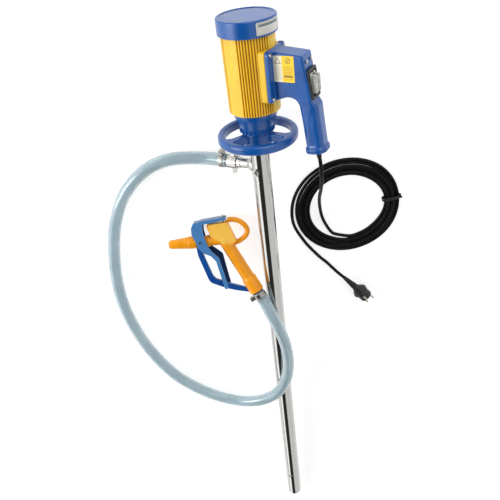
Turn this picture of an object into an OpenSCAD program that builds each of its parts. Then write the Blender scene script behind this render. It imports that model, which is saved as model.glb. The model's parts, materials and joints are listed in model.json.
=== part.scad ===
// Electric drum pump lying on a floor, with its discharge hose, trigger nozzle and mains lead.
// Pump parts are drawn upright on the pump axis, z up from the foot of the tube, with the pistol
// grip towards +X and the discharge towards -X. lay_pump() then lays them on the handwheel rim
// and the foot. Nozzle parts are drawn flat around the trigger valve, spout towards -X, and
// lay_nozzle() places them. Cords are drawn straight in floor coordinates.

/* [Pump tube] */
// Outside diameter of the pump tube
tube_d = 41; // [38:0.5:44]
// Wall of the pump tube
tube_wall = 1.5; // [1:0.25:2]
// Height of the discharge above the foot
discharge_z = 1199; // [1150:1:1210]
// Length of the removable foot
foot_len = 88; // [70:1:100]
// Diameter of the drive shaft
shaft_d = 8; // [6:0.5:10]

/* [Motor] */
// Diameter over the cooling fins
motor_d = 106; // [104:1:110]
// Height of the finned body
motor_len = 153; // [150:1:160]
// Bore of the finned body
motor_bore = 86; // [84:1:88]
// Angle from one cooling fin to the next
fin_pitch = 6; // [5:0.5:8]
// Diameter of the top cap
cap_d = 118; // [114:1:122]
// Height of the top cap
cap_len = 31; // [28:1:34]

/* [Handle] */
// Width of the handle casting
handle_w = 44; // [40:1:48]
// Width of the mounting plate
plate_w = 76; // [72:1:78]
// Lean of the pistol grip away from the motor
grip_lean = 6.3; // [4:0.1:8]

/* [Handwheel] */
// Outside diameter of the handwheel
wheel_d = 170; // [160:1:172]
// Height of the rim
wheel_rim_h = 20; // [16:1:22]
// Width of the rim
wheel_rim_w = 15; // [12:1:16]

/* [Hose] */
// Outside diameter of the hose
hose_d = 30; // [29:0.5:30]
// Inside diameter of the hose
hose_bore = 20; // [19:0.5:21]

/* [Nozzle] */
// Diameter of the nozzle grip
noz_grip_d = 31; // [28:1:32]
// Thickness of the valve block
block_t = 27; // [25:1:28]

/* [Mains lead] */
// Diameter of the mains lead
lead_d = 8; // [7:0.5:8]
// Radius of the middle of the coil
coil_r = 106; // [102:1:110]
// Width of the band of turns
coil_w = 46; // [42:1:48]
// Height of the band of turns
coil_h = 16; // [15:1:20]

/* [Hidden] */
$fn = 64;
BLUE = [0.05, 0.22, 0.62];
YELLOW = [0.93, 0.74, 0.05];
AMBER = [0.95, 0.60, 0.03];
STEEL = [0.78, 0.78, 0.80];
BLACK = [0.07, 0.07, 0.07];
COPPER = [0.72, 0.42, 0.20];
WHITE = [0.90, 0.90, 0.88];

// Resting attitude: roll of the grip above the floor, tilt from foot to handwheel
roll = 28;
tilt = 2.92;
// Floor coordinates of the foot, so that the origin is under the middle of the whole
foot_x = 47.4;
foot_y = -756.9;

tube_r = tube_d / 2;
tube_ri = tube_r - tube_wall;
shaft_r = shaft_d / 2;
foot_h = tube_r;
gap = 0.3;
run = 0.05;
seat = 0.1;

// Heights of the motor end, above the foot
wheel_z = 1271;
flange_z = 1283;
motor_z = 1330;
cap_z = motor_z + motor_len;
cap_top = cap_z + cap_len;
tube_top = 1262;

// The tube's head, a little thicker than the straight part that an adaptor slides on
head_z = 1165;
head_r = tube_r + 0.3;

// Inside the tube: the impeller, its guide vanes, the shaft's column and its seal
rotor_z = 58;
rotor_len = 24;
vanes_z = 110;
column_z = 124;
column_top = 1222;
column_r = 8;
column_ri = 6.5;
bush_zs = [130, 400, 670, 940, 1200];
seal_z = 1224;

// Inside the motor: the iron core, the collector, the fan, the bearings and the shaft
core_z = 1376;
core_len = 62;
armature_r = 25;
winding_h = 11.8;
collector_z = 1452;
brush_z = 1456;
fan_z = 1342;
low_bearing_z = 1314;
rotor_shaft_r = 5;
socket_r = 13;
socket_bore = 7.6;
driver_r = 7;

motor_r = motor_d / 2;
bore_r = motor_bore / 2;
cap_r = cap_d / 2;
fin_h = 3.5;
cap_screw_r = 47;

// Pistol grip
pad_x = 49;
plate_t = 9;
plate_z0 = 1356;
plate_z1 = 1456;
plate_screw_ys = [-31, 31];
plate_screw_zs = [1364, 1449];
block_x = pad_x + plate_t;
switch_lean = 8;
switch_x = 127.9;
switch_z = 1391;
grip_x = 133.5;
grip_z = 1256;
grip_len = 97;
gland_len = 22;

// Discharge, measured out from the pump axis
branch_bore = 8.5;
thread_r = 12.4;
branch_end = 66;
tail_end = 107;
hose_start = 82;
clamp_a_r = 95;

// Nozzle
nozzle_at = [-109, 997, 35.8];
nozzle_tilt = 20;
grip_dir = [0.432, -0.902];
grip_ang = atan2(grip_dir[1], grip_dir[0]);
grip_end = 155;
spout_y = -3;
lever_x = -56;
plate_out = 18.6;
spout_r = 15.2;
neck_r = 12;
clamp_b_s = 167;
noz_tail_end = 182;

// Hose route over the floor and over the tube: x, y, z from the foot of the tube
HOSE = [
    [-95, 1200, 31], [-122, 1201, 20], [-158, 1204, 15.5], [-200, 1206, 15], [-235, 1199, 15],
    [-268, 1184, 15], [-299, 1160, 15], [-328, 1127, 15], [-350, 1089, 15], [-368, 1045, 15],
    [-381, 996, 15], [-391, 943, 15], [-397, 890, 15], [-398, 835, 15], [-392, 776, 15],
    [-380, 717, 15], [-360, 655, 15], [-333, 596, 15], [-299, 542, 15.5], [-257, 500, 18],
    [-213, 471, 24], [-167, 455, 34], [-123, 453, 47], [-82, 463, 61], [-46, 484, 73],
    [-16, 515, 82], [5, 556, 88], [16, 605, 92], [18, 656, 96], [13, 706, 99],
    [1, 757, 101], [-14, 802, 98.5], [-30, 843, 89.5]];

// Mains lead from the gland down to the coil
LEAD = [
    [120, 1231, 147], [122, 1213, 146], [123, 1194, 142], [124, 1175, 135], [124, 1156, 124],
    [124, 1138, 110], [124, 1121, 93], [124, 1105, 75], [125, 1088, 57], [126, 1070, 42],
    [128, 1050, 29], [131, 1028, 18], [136, 1006, 10], [144, 985, 5], [153, 968, 4], [164, 957, 4],
    [178, 952, 4]];

// Mains lead from the coil to the plug
TAIL = [
    [81, 966, 4], [87, 946, 4], [99, 927, 4], [112, 909, 4], [126, 891, 4], [141, 875, 5], [154, 860, 8],
    [168, 845, 13], [183, 831, 18]];

// Coil on the floor, and the place of the tie round it
coil_at = [195, 1030];
tie_ang = 8;

// Plug
plug_at = [183, 831, 18];
plug_dir = -49.7;
prong_y = 9.5;
prong_r = 2.4;

// ---- placing ----

module on_floor() translate([foot_x, foot_y, 0]) children();

module lay_pump()
    on_floor()
        translate([0, 0, foot_h])
            rotate([tilt - 90, 0, 0])
                rotate([0, 0, -roll])
                    children();

module lay_nozzle()
    on_floor()
        translate(nozzle_at)
            rotate([-nozzle_tilt, 0, 0])
                children();

// z runs out along the discharge, x runs up the pump
module along_discharge()
    translate([0, 0, discharge_z])
        rotate([0, -90, 0])
            children();

// x runs down the nozzle grip
module along_nozzle_grip() rotate([0, 0, grip_ang]) children();

// z runs out along the nozzle grip, x stays to the left of it
module down_nozzle_grip() along_nozzle_grip() rotate([0, 90, 0]) children();

// ---- common shapes ----

module ring(r_out, r_in, h, z = 0)
    translate([0, 0, z])
        difference() {
            cylinder(h = h, r = r_out);
            translate([0, 0, -1]) cylinder(h = h + 2, r = r_in);
        }

// Rounded rectangle from whole circles and squares, so that it extrudes to true surfaces
module rounded_rect(x, y, r) {
    square([x - 2 * r, y], center = true);
    square([x, y - 2 * r], center = true);
    for (i = [-1, 1], j = [-1, 1])
        translate([i * (x / 2 - r), j * (y / 2 - r)]) circle(r);
}

module slab(x, y, z, r) linear_extrude(z) rounded_rect(x, y, r);

module round_bar(p, q, r) {
    d = q - p;
    translate(p)
        rotate([0, acos(d[2] / norm(d)), atan2(d[1], d[0])])
            cylinder(h = norm(d), r = r);
}

// Tube swept along a list of points with upright cross sections
function unit(v) = v / norm(v);
function heading(P, i) =
    i == 0 ? unit(P[1] - P[0]) :
    i == len(P) - 1 ? unit(P[i] - P[i - 1]) :
    unit(unit(P[i] - P[i - 1]) + unit(P[i + 1] - P[i]));
function beside(t) = unit(cross(t, abs(t[2]) > 0.9 ? [0, 1, 0] : [0, 0, 1]));
function ring_points(c, t, r, n) = [
    for (k = [0 : n - 1])
        c + r * (cos(360 * k / n) * beside(t) + sin(360 * k / n) * cross(beside(t), t))];

module swept_tube(P, r, n) {
    m = len(P);
    pts = [for (i = [0 : m - 1]) each ring_points(P[i], heading(P, i), r, n)];
    sides = [for (i = [0 : m - 2], k = [0 : n - 1])
        [i * n + k, (i + 1) * n + k, (i + 1) * n + (k + 1) % n, i * n + (k + 1) % n]];
    first = [for (k = [0 : n - 1]) k];
    last = [for (k = [n - 1 : -1 : 0]) (m - 1) * n + k];
    polyhedron(points = pts, faces = concat([first, last], sides), convexity = 10);
}

// Band of a worm-drive clamp round z, with its screw housing on +X and the screw along Y
clamp_w = 10;
clamp_t = 1.2;
screw_off = 21;
screw_r = 3.2;
module clamp_band(r) {
    difference() {
        union() {
            cylinder(h = clamp_w, r = r + clamp_t);
            translate([r - 1, -8, 0]) cube([screw_off + 4.2 - r, 16, clamp_w]);
        }
        translate([0, 0, -1]) cylinder(h = clamp_w + 2, r = r);
        translate([screw_off, 9, clamp_w / 2]) rotate([90, 0, 0]) cylinder(h = 18, r = screw_r + run);
    }
}
module clamp_worm() {
    translate([screw_off, 10, clamp_w / 2])
        rotate([90, 0, 0])
            cylinder(h = 19, r = screw_r);
    translate([screw_off, -9, clamp_w / 2])
        rotate([90, 0, 0])
            difference() {
                cylinder(h = 4, r = 4.6, $fn = 6);
                translate([-5, -0.6, 2.8]) cube([10, 1.2, 2]);
            }
}

// ---- pump tube ----

collar_r = 22.4;
slot_w = 5.4;
slot_turn = 25;
slot_z = foot_len + 9;
pin_r = 2.5;

module pump_tube() color(STEEL) lay_pump()
    difference() {
        rotate_extrude()
            polygon([[tube_ri, foot_len], [tube_r, foot_len], [tube_r, head_z], [head_r, head_z + 2],
                [head_r, tube_top], [tube_ri, tube_top]]);
        along_discharge() cylinder(h = 40, r = branch_bore);
        rotate([0, 0, -90]) {
            translate([10, -slot_w / 2, foot_len - 1]) cube([20, slot_w, slot_z - foot_len + 1]);
            for (a = [0 : 5 : slot_turn])
                rotate([0, 0, a])
                    translate([10, 0, slot_z]) rotate([0, 90, 0]) cylinder(h = 20, r = slot_w / 2);
        }
    }

module foot_sleeve() color(STEEL) lay_pump() {
    difference() {
        union() {
            cylinder(h = foot_len - gap, r = tube_r);
            cylinder(h = foot_len + 17, r = tube_ri - run);
        }
        translate([0, 0, -1]) cylinder(h = foot_len + 20, r = tube_ri - tube_wall);
    }
    rotate([0, 0, -90 + slot_turn])
        translate([tube_ri - tube_wall, 0, slot_z])
            rotate([0, 90, 0])
                cylinder(h = 2 * tube_wall - run - seat, r = pin_r);
}

module suction_strainer() color(STEEL) lay_pump()
    difference() {
        ring(tube_ri - tube_wall - seat, 14.5, 8, 4);
        for (a = [0 : 60 : 300])
            rotate([0, 0, a]) translate([12, 0, 8]) rotate([0, 90, 0]) cylinder(h = 8, r = 2);
    }

module inner_tube() color(STEEL) lay_pump()
    ring(column_r, column_ri, column_top - column_z, column_z);

module shaft_bushes() color(WHITE) lay_pump()
    for (z = bush_zs)
        ring(column_ri - run, shaft_r + run, 20, z);

module guide_vanes() color(STEEL) lay_pump() {
    ring(9.5, 6, 13, vanes_z);
    for (a = [45 : 90 : 315])
        rotate([0, 0, a]) translate([9, -0.75, vanes_z]) cube([9.8, 1.5, 12]);
    ring(9.5, column_r + run, 8, column_z - 1);
}

module impeller() color(WHITE) lay_pump() {
    ring(8, shaft_r, rotor_len, rotor_z);
    for (a = [0 : 120 : 240])
        rotate([0, 0, a]) translate([0, 0, rotor_z + rotor_len / 2])
            rotate([50, 0, 0])
                intersection() {
                    translate([7, -9, -1]) cube([9.2, 18, 2]);
                    rotate([-50, 0, 0]) cylinder(h = 40, r = 16.6, center = true);
                }
}

module pump_shaft() color(STEEL) lay_pump()
    translate([0, 0, rotor_z]) cylinder(h = tube_top - rotor_z, r = shaft_r);

module shaft_driver() color(STEEL) lay_pump()
    translate([0, 0, tube_top]) cylinder(h = 14, r = driver_r, $fn = 6);

module shaft_seal() color(BLACK) lay_pump()
    ring(tube_ri - seat, shaft_r + run, 10, seal_z);

module tube_collar() color(STEEL) lay_pump() {
    ring(24.5, head_r, 4.7, tube_top - 4.7);
    ring(collar_r, head_r, 19, tube_top - 19);
}

// ---- discharge ----

module discharge_branch() color(STEEL) lay_pump()
    difference() {
        along_discharge()
            difference() {
                union() {
                    cylinder(h = branch_end, r = 11);
                    cylinder(h = 26, r = 13.5);
                    translate([0, 0, 47]) cylinder(h = branch_end - 47, r = thread_r);
                }
                translate([0, 0, -1]) cylinder(h = branch_end + 2, r = branch_bore);
            }
        cylinder(h = 1300, r = head_r);
    }

module bonding_screw() color(STEEL) lay_pump()
    translate([0, 0, discharge_z - 9])
        rotate([0, 90, -95])
            translate([0, 0, head_r]) {
                cylinder(h = 4, r = 4);
                translate([0, 0, 4]) cylinder(h = 4, r = 7.5);
                translate([0, 0, 8]) cylinder(h = 4, r = 5.5, $fn = 6);
            }

wing_r = 5;

module union_nut() color(STEEL) lay_pump() along_discharge()
    difference() {
        union() {
            translate([0, 0, 57]) cylinder(h = 22, r = 15.5);
            for (s = [-1, 1])
                translate([s * 24, 0, 68]) {
                    translate([0, 3, 0]) rotate([90, 0, 0]) cylinder(h = 6, r = wing_r);
                    translate([s * -8 - 5, -3, -wing_r]) cube([11, 6, 2 * wing_r]);
                }
        }
        translate([0, 0, 56]) cylinder(h = 14.5, r = thread_r + run);
        translate([0, 0, 56]) cylinder(h = 24, r = 9.4);
    }

module hose_tail() color(STEEL) lay_pump() along_discharge()
    difference() {
        union() {
            translate([0, 0, branch_end + 0.05]) cylinder(h = 4, r = 12);
            translate([0, 0, branch_end + 1]) cylinder(h = tail_end - branch_end - 1, r = 9.2);
            for (z = [84, 91, 98])
                translate([0, 0, z]) cylinder(h = 5, r = hose_bore / 2);
        }
        translate([0, 0, 60]) cylinder(h = 60, r = 7);
    }

module hose_clamp_pump() color(STEEL) lay_pump() along_discharge()
    translate([0, 0, clamp_a_r - clamp_w / 2]) clamp_band(hose_d / 2);

module clamp_screw_pump() color(STEEL) lay_pump() along_discharge()
    translate([0, 0, clamp_a_r - clamp_w / 2]) clamp_worm();

module hose_end_pump() color(WHITE) lay_pump() along_discharge()
    ring(hose_d / 2, hose_bore / 2, tail_end - hose_start, hose_start);

module hose() color(WHITE) on_floor() swept_tube(HOSE, hose_d / 2, 12);

// ---- handwheel ----

spoke_w = 16;
spoke_h = 18;
hub_r = 30;
spoke_ang = 118;
module handwheel() color(BLUE) lay_pump() {
    rim_r = wheel_d / 2;
    rotate_extrude($fn = 96)
        translate([rim_r - wheel_rim_w / 2, wheel_z])
            rounded_rect(wheel_rim_w, wheel_rim_h, 5);
    ring(hub_r, 26, 25, 1257);
    ring(hub_r, collar_r + gap, 4, 1253);
    for (a = [spoke_ang : 120 : spoke_ang + 240])
        rotate([0, 0, a])
            translate([hub_r - 3, -spoke_w / 2, wheel_z - wheel_rim_h / 2])
                cube([rim_r - wheel_rim_w - hub_r + 6, spoke_w, spoke_h]);
}

// ---- motor ----

module motor_flange() color(BLUE) lay_pump()
    difference() {
        union() {
            rotate_extrude()
                polygon([[0, flange_z], [35, flange_z], [36, 1297], [42, 1322], [46, 1323],
                    [46, motor_z - seat], [0, motor_z - seat]]);
            translate([0, 0, 1265]) cylinder(h = 20, r = 25.6);
            for (a = [0 : 15 : 345])
                rotate([0, 0, a]) translate([33, -2.4, flange_z + 0.5]) cube([4.2, 4.8, 9]);
        }
        translate([0, 0, 1264]) cylinder(h = 50, r = 15);
        translate([0, 0, low_bearing_z - 1]) cylinder(h = 20, r = 13 + seat);
    }

function fin_here(a) =
    let (b = abs(a > 180 ? a - 360 : a))
    (b >= 18 && b <= 88) || b >= 126;

module motor_housing() color(YELLOW) lay_pump()
    difference() {
        union() {
            translate([0, 0, motor_z])
                linear_extrude(motor_len)
                    difference() {
                        circle(motor_r, $fn = 180);
                        for (a = [fin_pitch / 2 : fin_pitch : 360])
                            if (fin_here(a))
                                rotate(a) translate([motor_r - fin_h, -1.3]) square([2 * fin_h, 2.6]);
                    }
            translate([20, -plate_w / 2, plate_z0])
                cube([pad_x - 20, plate_w, plate_z1 - plate_z0]);
        }
        translate([pad_x, -50, plate_z0]) cube([20, 100, plate_z1 - plate_z0]);
        translate([0, 0, motor_z + 4]) cylinder(h = motor_len, r = bore_r);
        translate([0, 0, motor_z - 1]) cylinder(h = 10, r = 20);
    }

module stator() color(STEEL) lay_pump()
    ring(bore_r - seat, armature_r + 0.6, core_len, core_z);

module field_windings() color(COPPER) lay_pump()
    for (z = [core_z - winding_h - 0.2, core_z + core_len + 0.2])
        ring(40, 28, winding_h, z);

module armature() color(STEEL) lay_pump()
    difference() {
        ring(armature_r, rotor_shaft_r, core_len, core_z);
        for (a = [0 : 30 : 330])
            rotate([0, 0, a]) translate([armature_r - 3, -1, core_z - 1]) cube([4, 2, core_len + 2]);
    }

module motor_shaft() color(STEEL) lay_pump()
    difference() {
        union() {
            translate([0, 0, tube_top + 18]) cylinder(h = 218, r = rotor_shaft_r);
            translate([0, 0, tube_top + 1]) cylinder(h = 34, r = socket_r);
        }
        translate([0, 0, tube_top]) cylinder(h = 18, r = socket_bore, $fn = 6);
    }

module commutator() color(COPPER) lay_pump()
    difference() {
        ring(14, rotor_shaft_r, 16, collector_z);
        for (a = [0 : 22.5 : 337.5])
            rotate([0, 0, a]) translate([12, -0.4, collector_z - 1]) cube([4, 0.8, 18]);
    }

module carbon_brushes() color(BLACK) lay_pump()
    for (a = [0, 180])
        rotate([0, 0, a]) translate([14.2, -4, brush_z]) cube([14, 8, 8]);

module brush_ring() color(BLACK) lay_pump()
    difference() {
        ring(bore_r - seat, 19, 12, brush_z - 2);
        for (a = [0, 180])
            rotate([0, 0, a]) translate([14, -4.1, brush_z - 0.1]) cube([14.3, 8.2, 8.2]);
    }

module cooling_fan() color(BLACK) lay_pump() {
    ring(11, rotor_shaft_r, 16, fan_z);
    ring(36, 10, 2, fan_z);
    for (a = [0 : 45 : 315])
        rotate([0, 0, a]) translate([10, -0.9, fan_z + 1]) cube([25, 1.8, 15]);
}

module motor_bearings() color(STEEL) lay_pump() {
    ring(13, rotor_shaft_r + run, 12, low_bearing_z);
    ring(11, rotor_shaft_r + run, 10, cap_z + 1);
}

module top_cap() color(BLUE) lay_pump()
    difference() {
        rotate_extrude($fn = 120)
            polygon(concat(
                [[0, cap_z], [cap_r - 1, cap_z], [cap_r, cap_z + 1]],
                [for (a = [0 : 15 : 90])
                    [cap_r - 4 + 4 * cos(a), cap_top - 4 + 4 * sin(a)]],
                [[0, cap_top]]));
        translate([0, 0, cap_z - 1]) difference() {
            cylinder(h = 24, r = cap_r - 5);
            cylinder(h = 24, r = 16);
            for (a = [0 : 90 : 270]) rotate([0, 0, a]) translate([cap_screw_r, 0, 0]) cylinder(h = 24, r = 6);
        }
        translate([0, 0, cap_z - 1]) cylinder(h = 12, r = 11 + seat);
        translate([0, 0, cap_z + 5]) cylinder(h = 14, r = 8);
        for (a = [0 : 90 : 270])
            rotate([0, 0, a]) translate([cap_screw_r, 0, 0]) {
                translate([0, 0, cap_top - 5]) cylinder(h = 6, r = 4.6);
                translate([0, 0, cap_z - 2]) cylinder(h = 40, r = 2.2);
            }
    }

module cap_screws() color(STEEL) lay_pump()
    for (a = [0 : 90 : 270])
        rotate([0, 0, a]) translate([cap_screw_r, 0, 0])
            difference() {
                union() {
                    translate([0, 0, cap_top - 5]) cylinder(h = 3.6, r = 4.2);
                    translate([0, 0, cap_z + 0.5]) cylinder(h = cap_len - 4, r = 2.1);
                }
                translate([0, 0, cap_top - 3.4]) cylinder(h = 4, r = 2.2, $fn = 6);
            }

label_ang = -17;
module name_plate() color(WHITE) lay_pump()
    intersection() {
        ring(cap_r + 0.5, cap_r + 0.01, 23, cap_z + 4);
        rotate([0, 0, label_ang]) translate([0, -30, cap_z]) cube([70, 60, 40]);
    }

// ---- pistol handle ----

module grip_frame() translate([grip_x, 0, grip_z]) rotate([0, -grip_lean, 0]) children();
module switch_frame() translate([switch_x, 0, switch_z]) rotate([0, 90 - switch_lean, 0]) children();

module handle() color(BLUE) lay_pump()
    difference() {
        union() {
            translate([pad_x, -plate_w / 2, plate_z0])
                cube([plate_t, plate_w, plate_z1 - plate_z0]);
            translate([0, handle_w / 2, 0]) rotate([90, 0, 0])
                linear_extrude(handle_w)
                    polygon([[block_x - 1, 1448], [120, 1447], [131.4, 1366], [133, 1352], [108, 1350],
                        [105, 1359], [100, 1365], [92, 1367], [84, 1366], [block_x - 1, 1357]]);
            grip_frame() slab(38, 40, grip_len, 14);
            grip_frame() slab(45, 50, 7, 18);
        }
        grip_frame() translate([0, 0, -1]) slab(28, 30, 92, 9);
        switch_frame() translate([-1, 0, -30]) slab(48, 32, 40, 3);
        for (y = plate_screw_ys, z = plate_screw_zs)
            translate([pad_x - 1, y, z]) rotate([0, 90, 0]) cylinder(h = 20, r = 2.6);
        switch_frame() for (y = [-11, 11]) translate([-43.5, y, -6]) cylinder(h = 12, r = 1.9);
    }

module handle_screws() color(STEEL) lay_pump()
    for (y = plate_screw_ys, z = plate_screw_zs)
        translate([block_x, y, z]) rotate([0, 90, 0])
            difference() {
                union() {
                    cylinder(h = 3, r = 4);
                    translate([0, 0, 0.1 - plate_t]) cylinder(h = plate_t, r = 2.5);
                }
                translate([0, 0, 1.4]) cylinder(h = 3, r = 2, $fn = 6);
            }

module warning_label() color(WHITE) lay_pump()
    translate([59.5, -handle_w / 2 - 0.4, 1396.5]) cube([42, 0.4, 50]);

bezel_l = 58;
bezel_w = 38;
module switch_bezel() color(BLACK) lay_pump() switch_frame()
    difference() {
        translate([0, 0, 0.1]) slab(bezel_l, bezel_w, 5, 3);
        translate([0, 0, -1]) slab(47, 31, 20, 3);
    }

module switch_block() color(BLACK) lay_pump() switch_frame()
    difference() {
        translate([0, 0, -28]) slab(44, 29, 22, 3);
        translate([0, 20, -4]) rotate([90, 0, 0]) cylinder(h = 40, r = 5);
    }

boot_rest = 6;
module rocker_boot() color([0.6, 0.6, 0.6]) lay_pump() switch_frame()
    translate([0, 0, -1]) rotate([0, boot_rest, 0]) {
        translate([0, 0, 0]) slab(42, 27, 8, 4);
        translate([0, 0, 7]) slab(38, 24, 4, 5);
        for (x = [-14 : 4 : 14]) translate([x, 0, 10]) slab(2, 20, 2.4, 0.9);
    }

module switch_screws() color(STEEL) lay_pump() switch_frame()
    for (y = [-11, 11]) translate([-43.5, y, 0]) {
        translate([0, 0, -5]) cylinder(h = 6, r = 1.8);
        translate([0, 0, 0.1]) cylinder(h = 1.8, r = 3.2);
    }

module grip_end_cap() color(BLUE) lay_pump() grip_frame()
    difference() {
        translate([0, 0, -4]) slab(46, 51, 3.9, 18);
        translate([0, 0, -5]) cylinder(h = 10, r = 5.1);
    }

module cable_gland() color(BLACK) lay_pump() grip_frame()
    difference() {
        union() {
            translate([0, 0, -8]) cylinder(h = 7.9, r = 5);
            translate([0, 0, -8.3]) cylinder(h = 4, r = 7);
            rotate_extrude()
                polygon([[0, -gland_len], [4.6, -gland_len], [6, -8], [0, -8]]);
        }
        translate([0, 0, -gland_len - 1]) cylinder(h = gland_len + 4, r = 2);
    }

// ---- nozzle ----

// Outline of the valve block, and the place of the valve stem along it
BLOCK = [[-38, 38], [14, 40], [32, -8], [12, -22], [-5, -8], [-30, 8]];
stem_x = 3;
stem_r = 3;

module nozzle_body() color(AMBER) lay_nozzle()
    difference() {
        union() {
            translate([0, 0, -block_t / 2])
                linear_extrude(block_t)
                    polygon(BLOCK);
            translate([-40, spout_y, 0]) rotate([0, 90, 0]) cylinder(h = 42, r = neck_r + 0.5);
            down_nozzle_grip() {
                cylinder(h = grip_end - 38, r = noz_grip_d / 2);
                translate([0, 0, grip_end - 42]) cylinder(h = 4, r1 = noz_grip_d / 2, r2 = 18, $fn = 96);
                translate([0, 0, grip_end - 38]) cylinder(h = 38, r = 18);
            }
        }
        down_nozzle_grip() translate([0, 0, 12]) cylinder(h = grip_end, r = 8);
        translate([-41, spout_y, 0]) rotate([0, 90, 0]) cylinder(h = 52, r = 8);
        translate([stem_x, 15, 0]) rotate([-90, 0, 0]) cylinder(h = 40, r = stem_r + run);
        translate([stem_x, -6, 0]) rotate([-90, 0, 0]) cylinder(h = 36, r = 8);
    }

module spout() color(AMBER) lay_nozzle()
    translate([0, spout_y, 0]) rotate([0, -90, 0])
        difference() {
            union() {
                translate([0, 0, 40.05]) cylinder(h = 47, r = neck_r);
                translate([0, 0, 66]) cylinder(h = 21, r = spout_r);
                rotate_extrude($fn = 64)
                    polygon([[0, 87], [spout_r, 87], [10.5, 130], [9.5, 132.5], [7, 133.5], [0, 133.5]]);
            }
            cylinder(h = 140, r = 5.5);
            translate([0, 0, 30]) cylinder(h = 57, r = 8);
        }

module hanging_loop() color(AMBER) lay_nozzle()
    difference() {
        translate([27, 14, 0])
            rotate([0, 0, -62])
                rotate_extrude(angle = 170) translate([31, 0]) circle(6.3);
        translate([0, 0, -block_t / 2])
            linear_extrude(block_t)
                polygon(BLOCK);
        translate([stem_x, 43.5, -10]) cube([12, 30, 20]);
        down_nozzle_grip() cylinder(h = 60, r = noz_grip_d / 2);
    }

module trigger_guard() color(BLUE) lay_nozzle()
    difference() {
        translate([0, 0, -6])
            linear_extrude(12)
                polygon([[-68, -16], [-66, -37], [-47, -101], [-43, -107], [-37, -111], [-7, -124],
                    [20, -133], [56, -142], [56, -128], [40, -126], [4, -113], [-17, -103],
                    [-30, -97], [-35, -91], [-53, -32], [-53, -16]]);
        down_nozzle_grip() cylinder(h = 200, r = 18 + seat);
        translate([-20, spout_y, 0]) rotate([0, -90, 0]) cylinder(h = 80, r = neck_r + seat);
        translate([-65.8, spout_y, 0]) rotate([0, -90, 0]) cylinder(h = 40, r = spout_r + seat);
    }

module lever_side()
    linear_extrude(3)
        polygon([[-67, 45], [-73, 34], [-74, 18], [-68, 4], [-61, -18], [-50, -30], [-34, -38],
            [-23, -52], [-9, -124], [5, -120], [4, -110], [-7, -40], [-22, -26], [-38, -14],
            [-43, 4], [-46, 22], [-45, 46]]);

module trigger_lever() color(BLUE) lay_nozzle()
    difference() {
        union() {
            for (s = [0, 1]) mirror([0, 0, s]) translate([0, 0, plate_out - 3]) lever_side();
            translate([0, 0, -plate_out])
                linear_extrude(2 * plate_out)
                    polygon([[-67, 45], [-70, 39], [-48, 40], [12, 46], [12, 53], [-46, 49]]);
            translate([0, 0, -plate_out])
                linear_extrude(2 * plate_out)
                    polygon([[-34, -38], [-23, -52], [-14.5, -98], [-11.5, -97.4], [-20, -50.5],
                        [-30, -36]]);
        }
        translate([stem_x - 3.4, 35, -3.4]) cube([30, 30, 6.8]);
        translate([lever_x, spout_y, -20]) cylinder(h = 40, r = 3 + run);
    }

module lever_pin() color(STEEL) lay_nozzle()
    difference() {
        translate([lever_x, spout_y, -plate_out - 1.5]) cylinder(h = 2 * plate_out + 3, r = 3);
        translate([0, spout_y, 0]) rotate([0, -90, 0]) cylinder(h = 80, r = neck_r);
    }

module valve_stem() color(STEEL) lay_nozzle()
    translate([stem_x, 0, 0]) rotate([-90, 0, 0]) {
        cylinder(h = 55, r = stem_r);
        cylinder(h = 6, r = 7.5);
        translate([0, 0, 54.2]) cylinder(h = 2.4, r = 5.2);
    }

module nozzle_tail() color(BLACK) lay_nozzle() down_nozzle_grip()
    difference() {
        union() {
            translate([0, 0, grip_end - 20]) cylinder(h = 25, r = 8 - run);
            translate([0, 0, grip_end + 0.05]) cylinder(h = noz_tail_end - grip_end, r = 9.2);
            translate([0, 0, grip_end + 0.05]) cylinder(h = 2, r = 15);
            for (z = [160, 167, 174])
                translate([0, 0, z]) cylinder(h = 5, r = hose_bore / 2);
        }
        translate([0, 0, 100]) cylinder(h = 100, r = 6.5);
    }

module hose_end_nozzle() color(WHITE) lay_nozzle() down_nozzle_grip()
    ring(hose_d / 2, hose_bore / 2, noz_tail_end - grip_end - 3, grip_end + 3);

module nozzle_clamp_frame()
    lay_nozzle() down_nozzle_grip() translate([0, 0, clamp_b_s - clamp_w / 2]) rotate([0, 0, 90]) children();

module hose_clamp_nozzle() color(STEEL) nozzle_clamp_frame() mirror([1, 0, 0]) clamp_band(hose_d / 2);

module clamp_screw_nozzle() color(STEEL) nozzle_clamp_frame() mirror([1, 0, 0]) clamp_worm();

// ---- mains lead ----

module mains_lead() color(BLACK) on_floor() swept_tube(LEAD, lead_d / 2, 8);

module lead_to_plug() color(BLACK) on_floor() swept_tube(TAIL, lead_d / 2, 8);

// Space around one place on the coil, outside the given section
module round_the_coil(len, w, h)
    rotate([0, 0, tie_ang])
        translate([coil_r, len / 2, 0])
            rotate([90, 0, 0])
                linear_extrude(len)
                    difference() {
                        rounded_rect(coil_w + 3, coil_h, 6);
                        rounded_rect(w, h, 5);
                    }

module lead_coil() color(BLACK) on_floor()
    translate([coil_at[0], coil_at[1], coil_h / 2])
        difference() {
            rotate_extrude($fn = 96)
                translate([coil_r, 0]) rounded_rect(coil_w, coil_h, 6);
            round_the_coil(8.4, coil_w - 1, coil_h - 3);
        }

module coil_tie() color(BLACK) on_floor()
    translate([coil_at[0], coil_at[1], coil_h / 2])
        round_the_coil(8, coil_w - 0.6, coil_h - 2.6);

module plug_frame() on_floor() translate(plug_at) rotate([0, 0, plug_dir]) rotate([0, 90, 0]) children();

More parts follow.
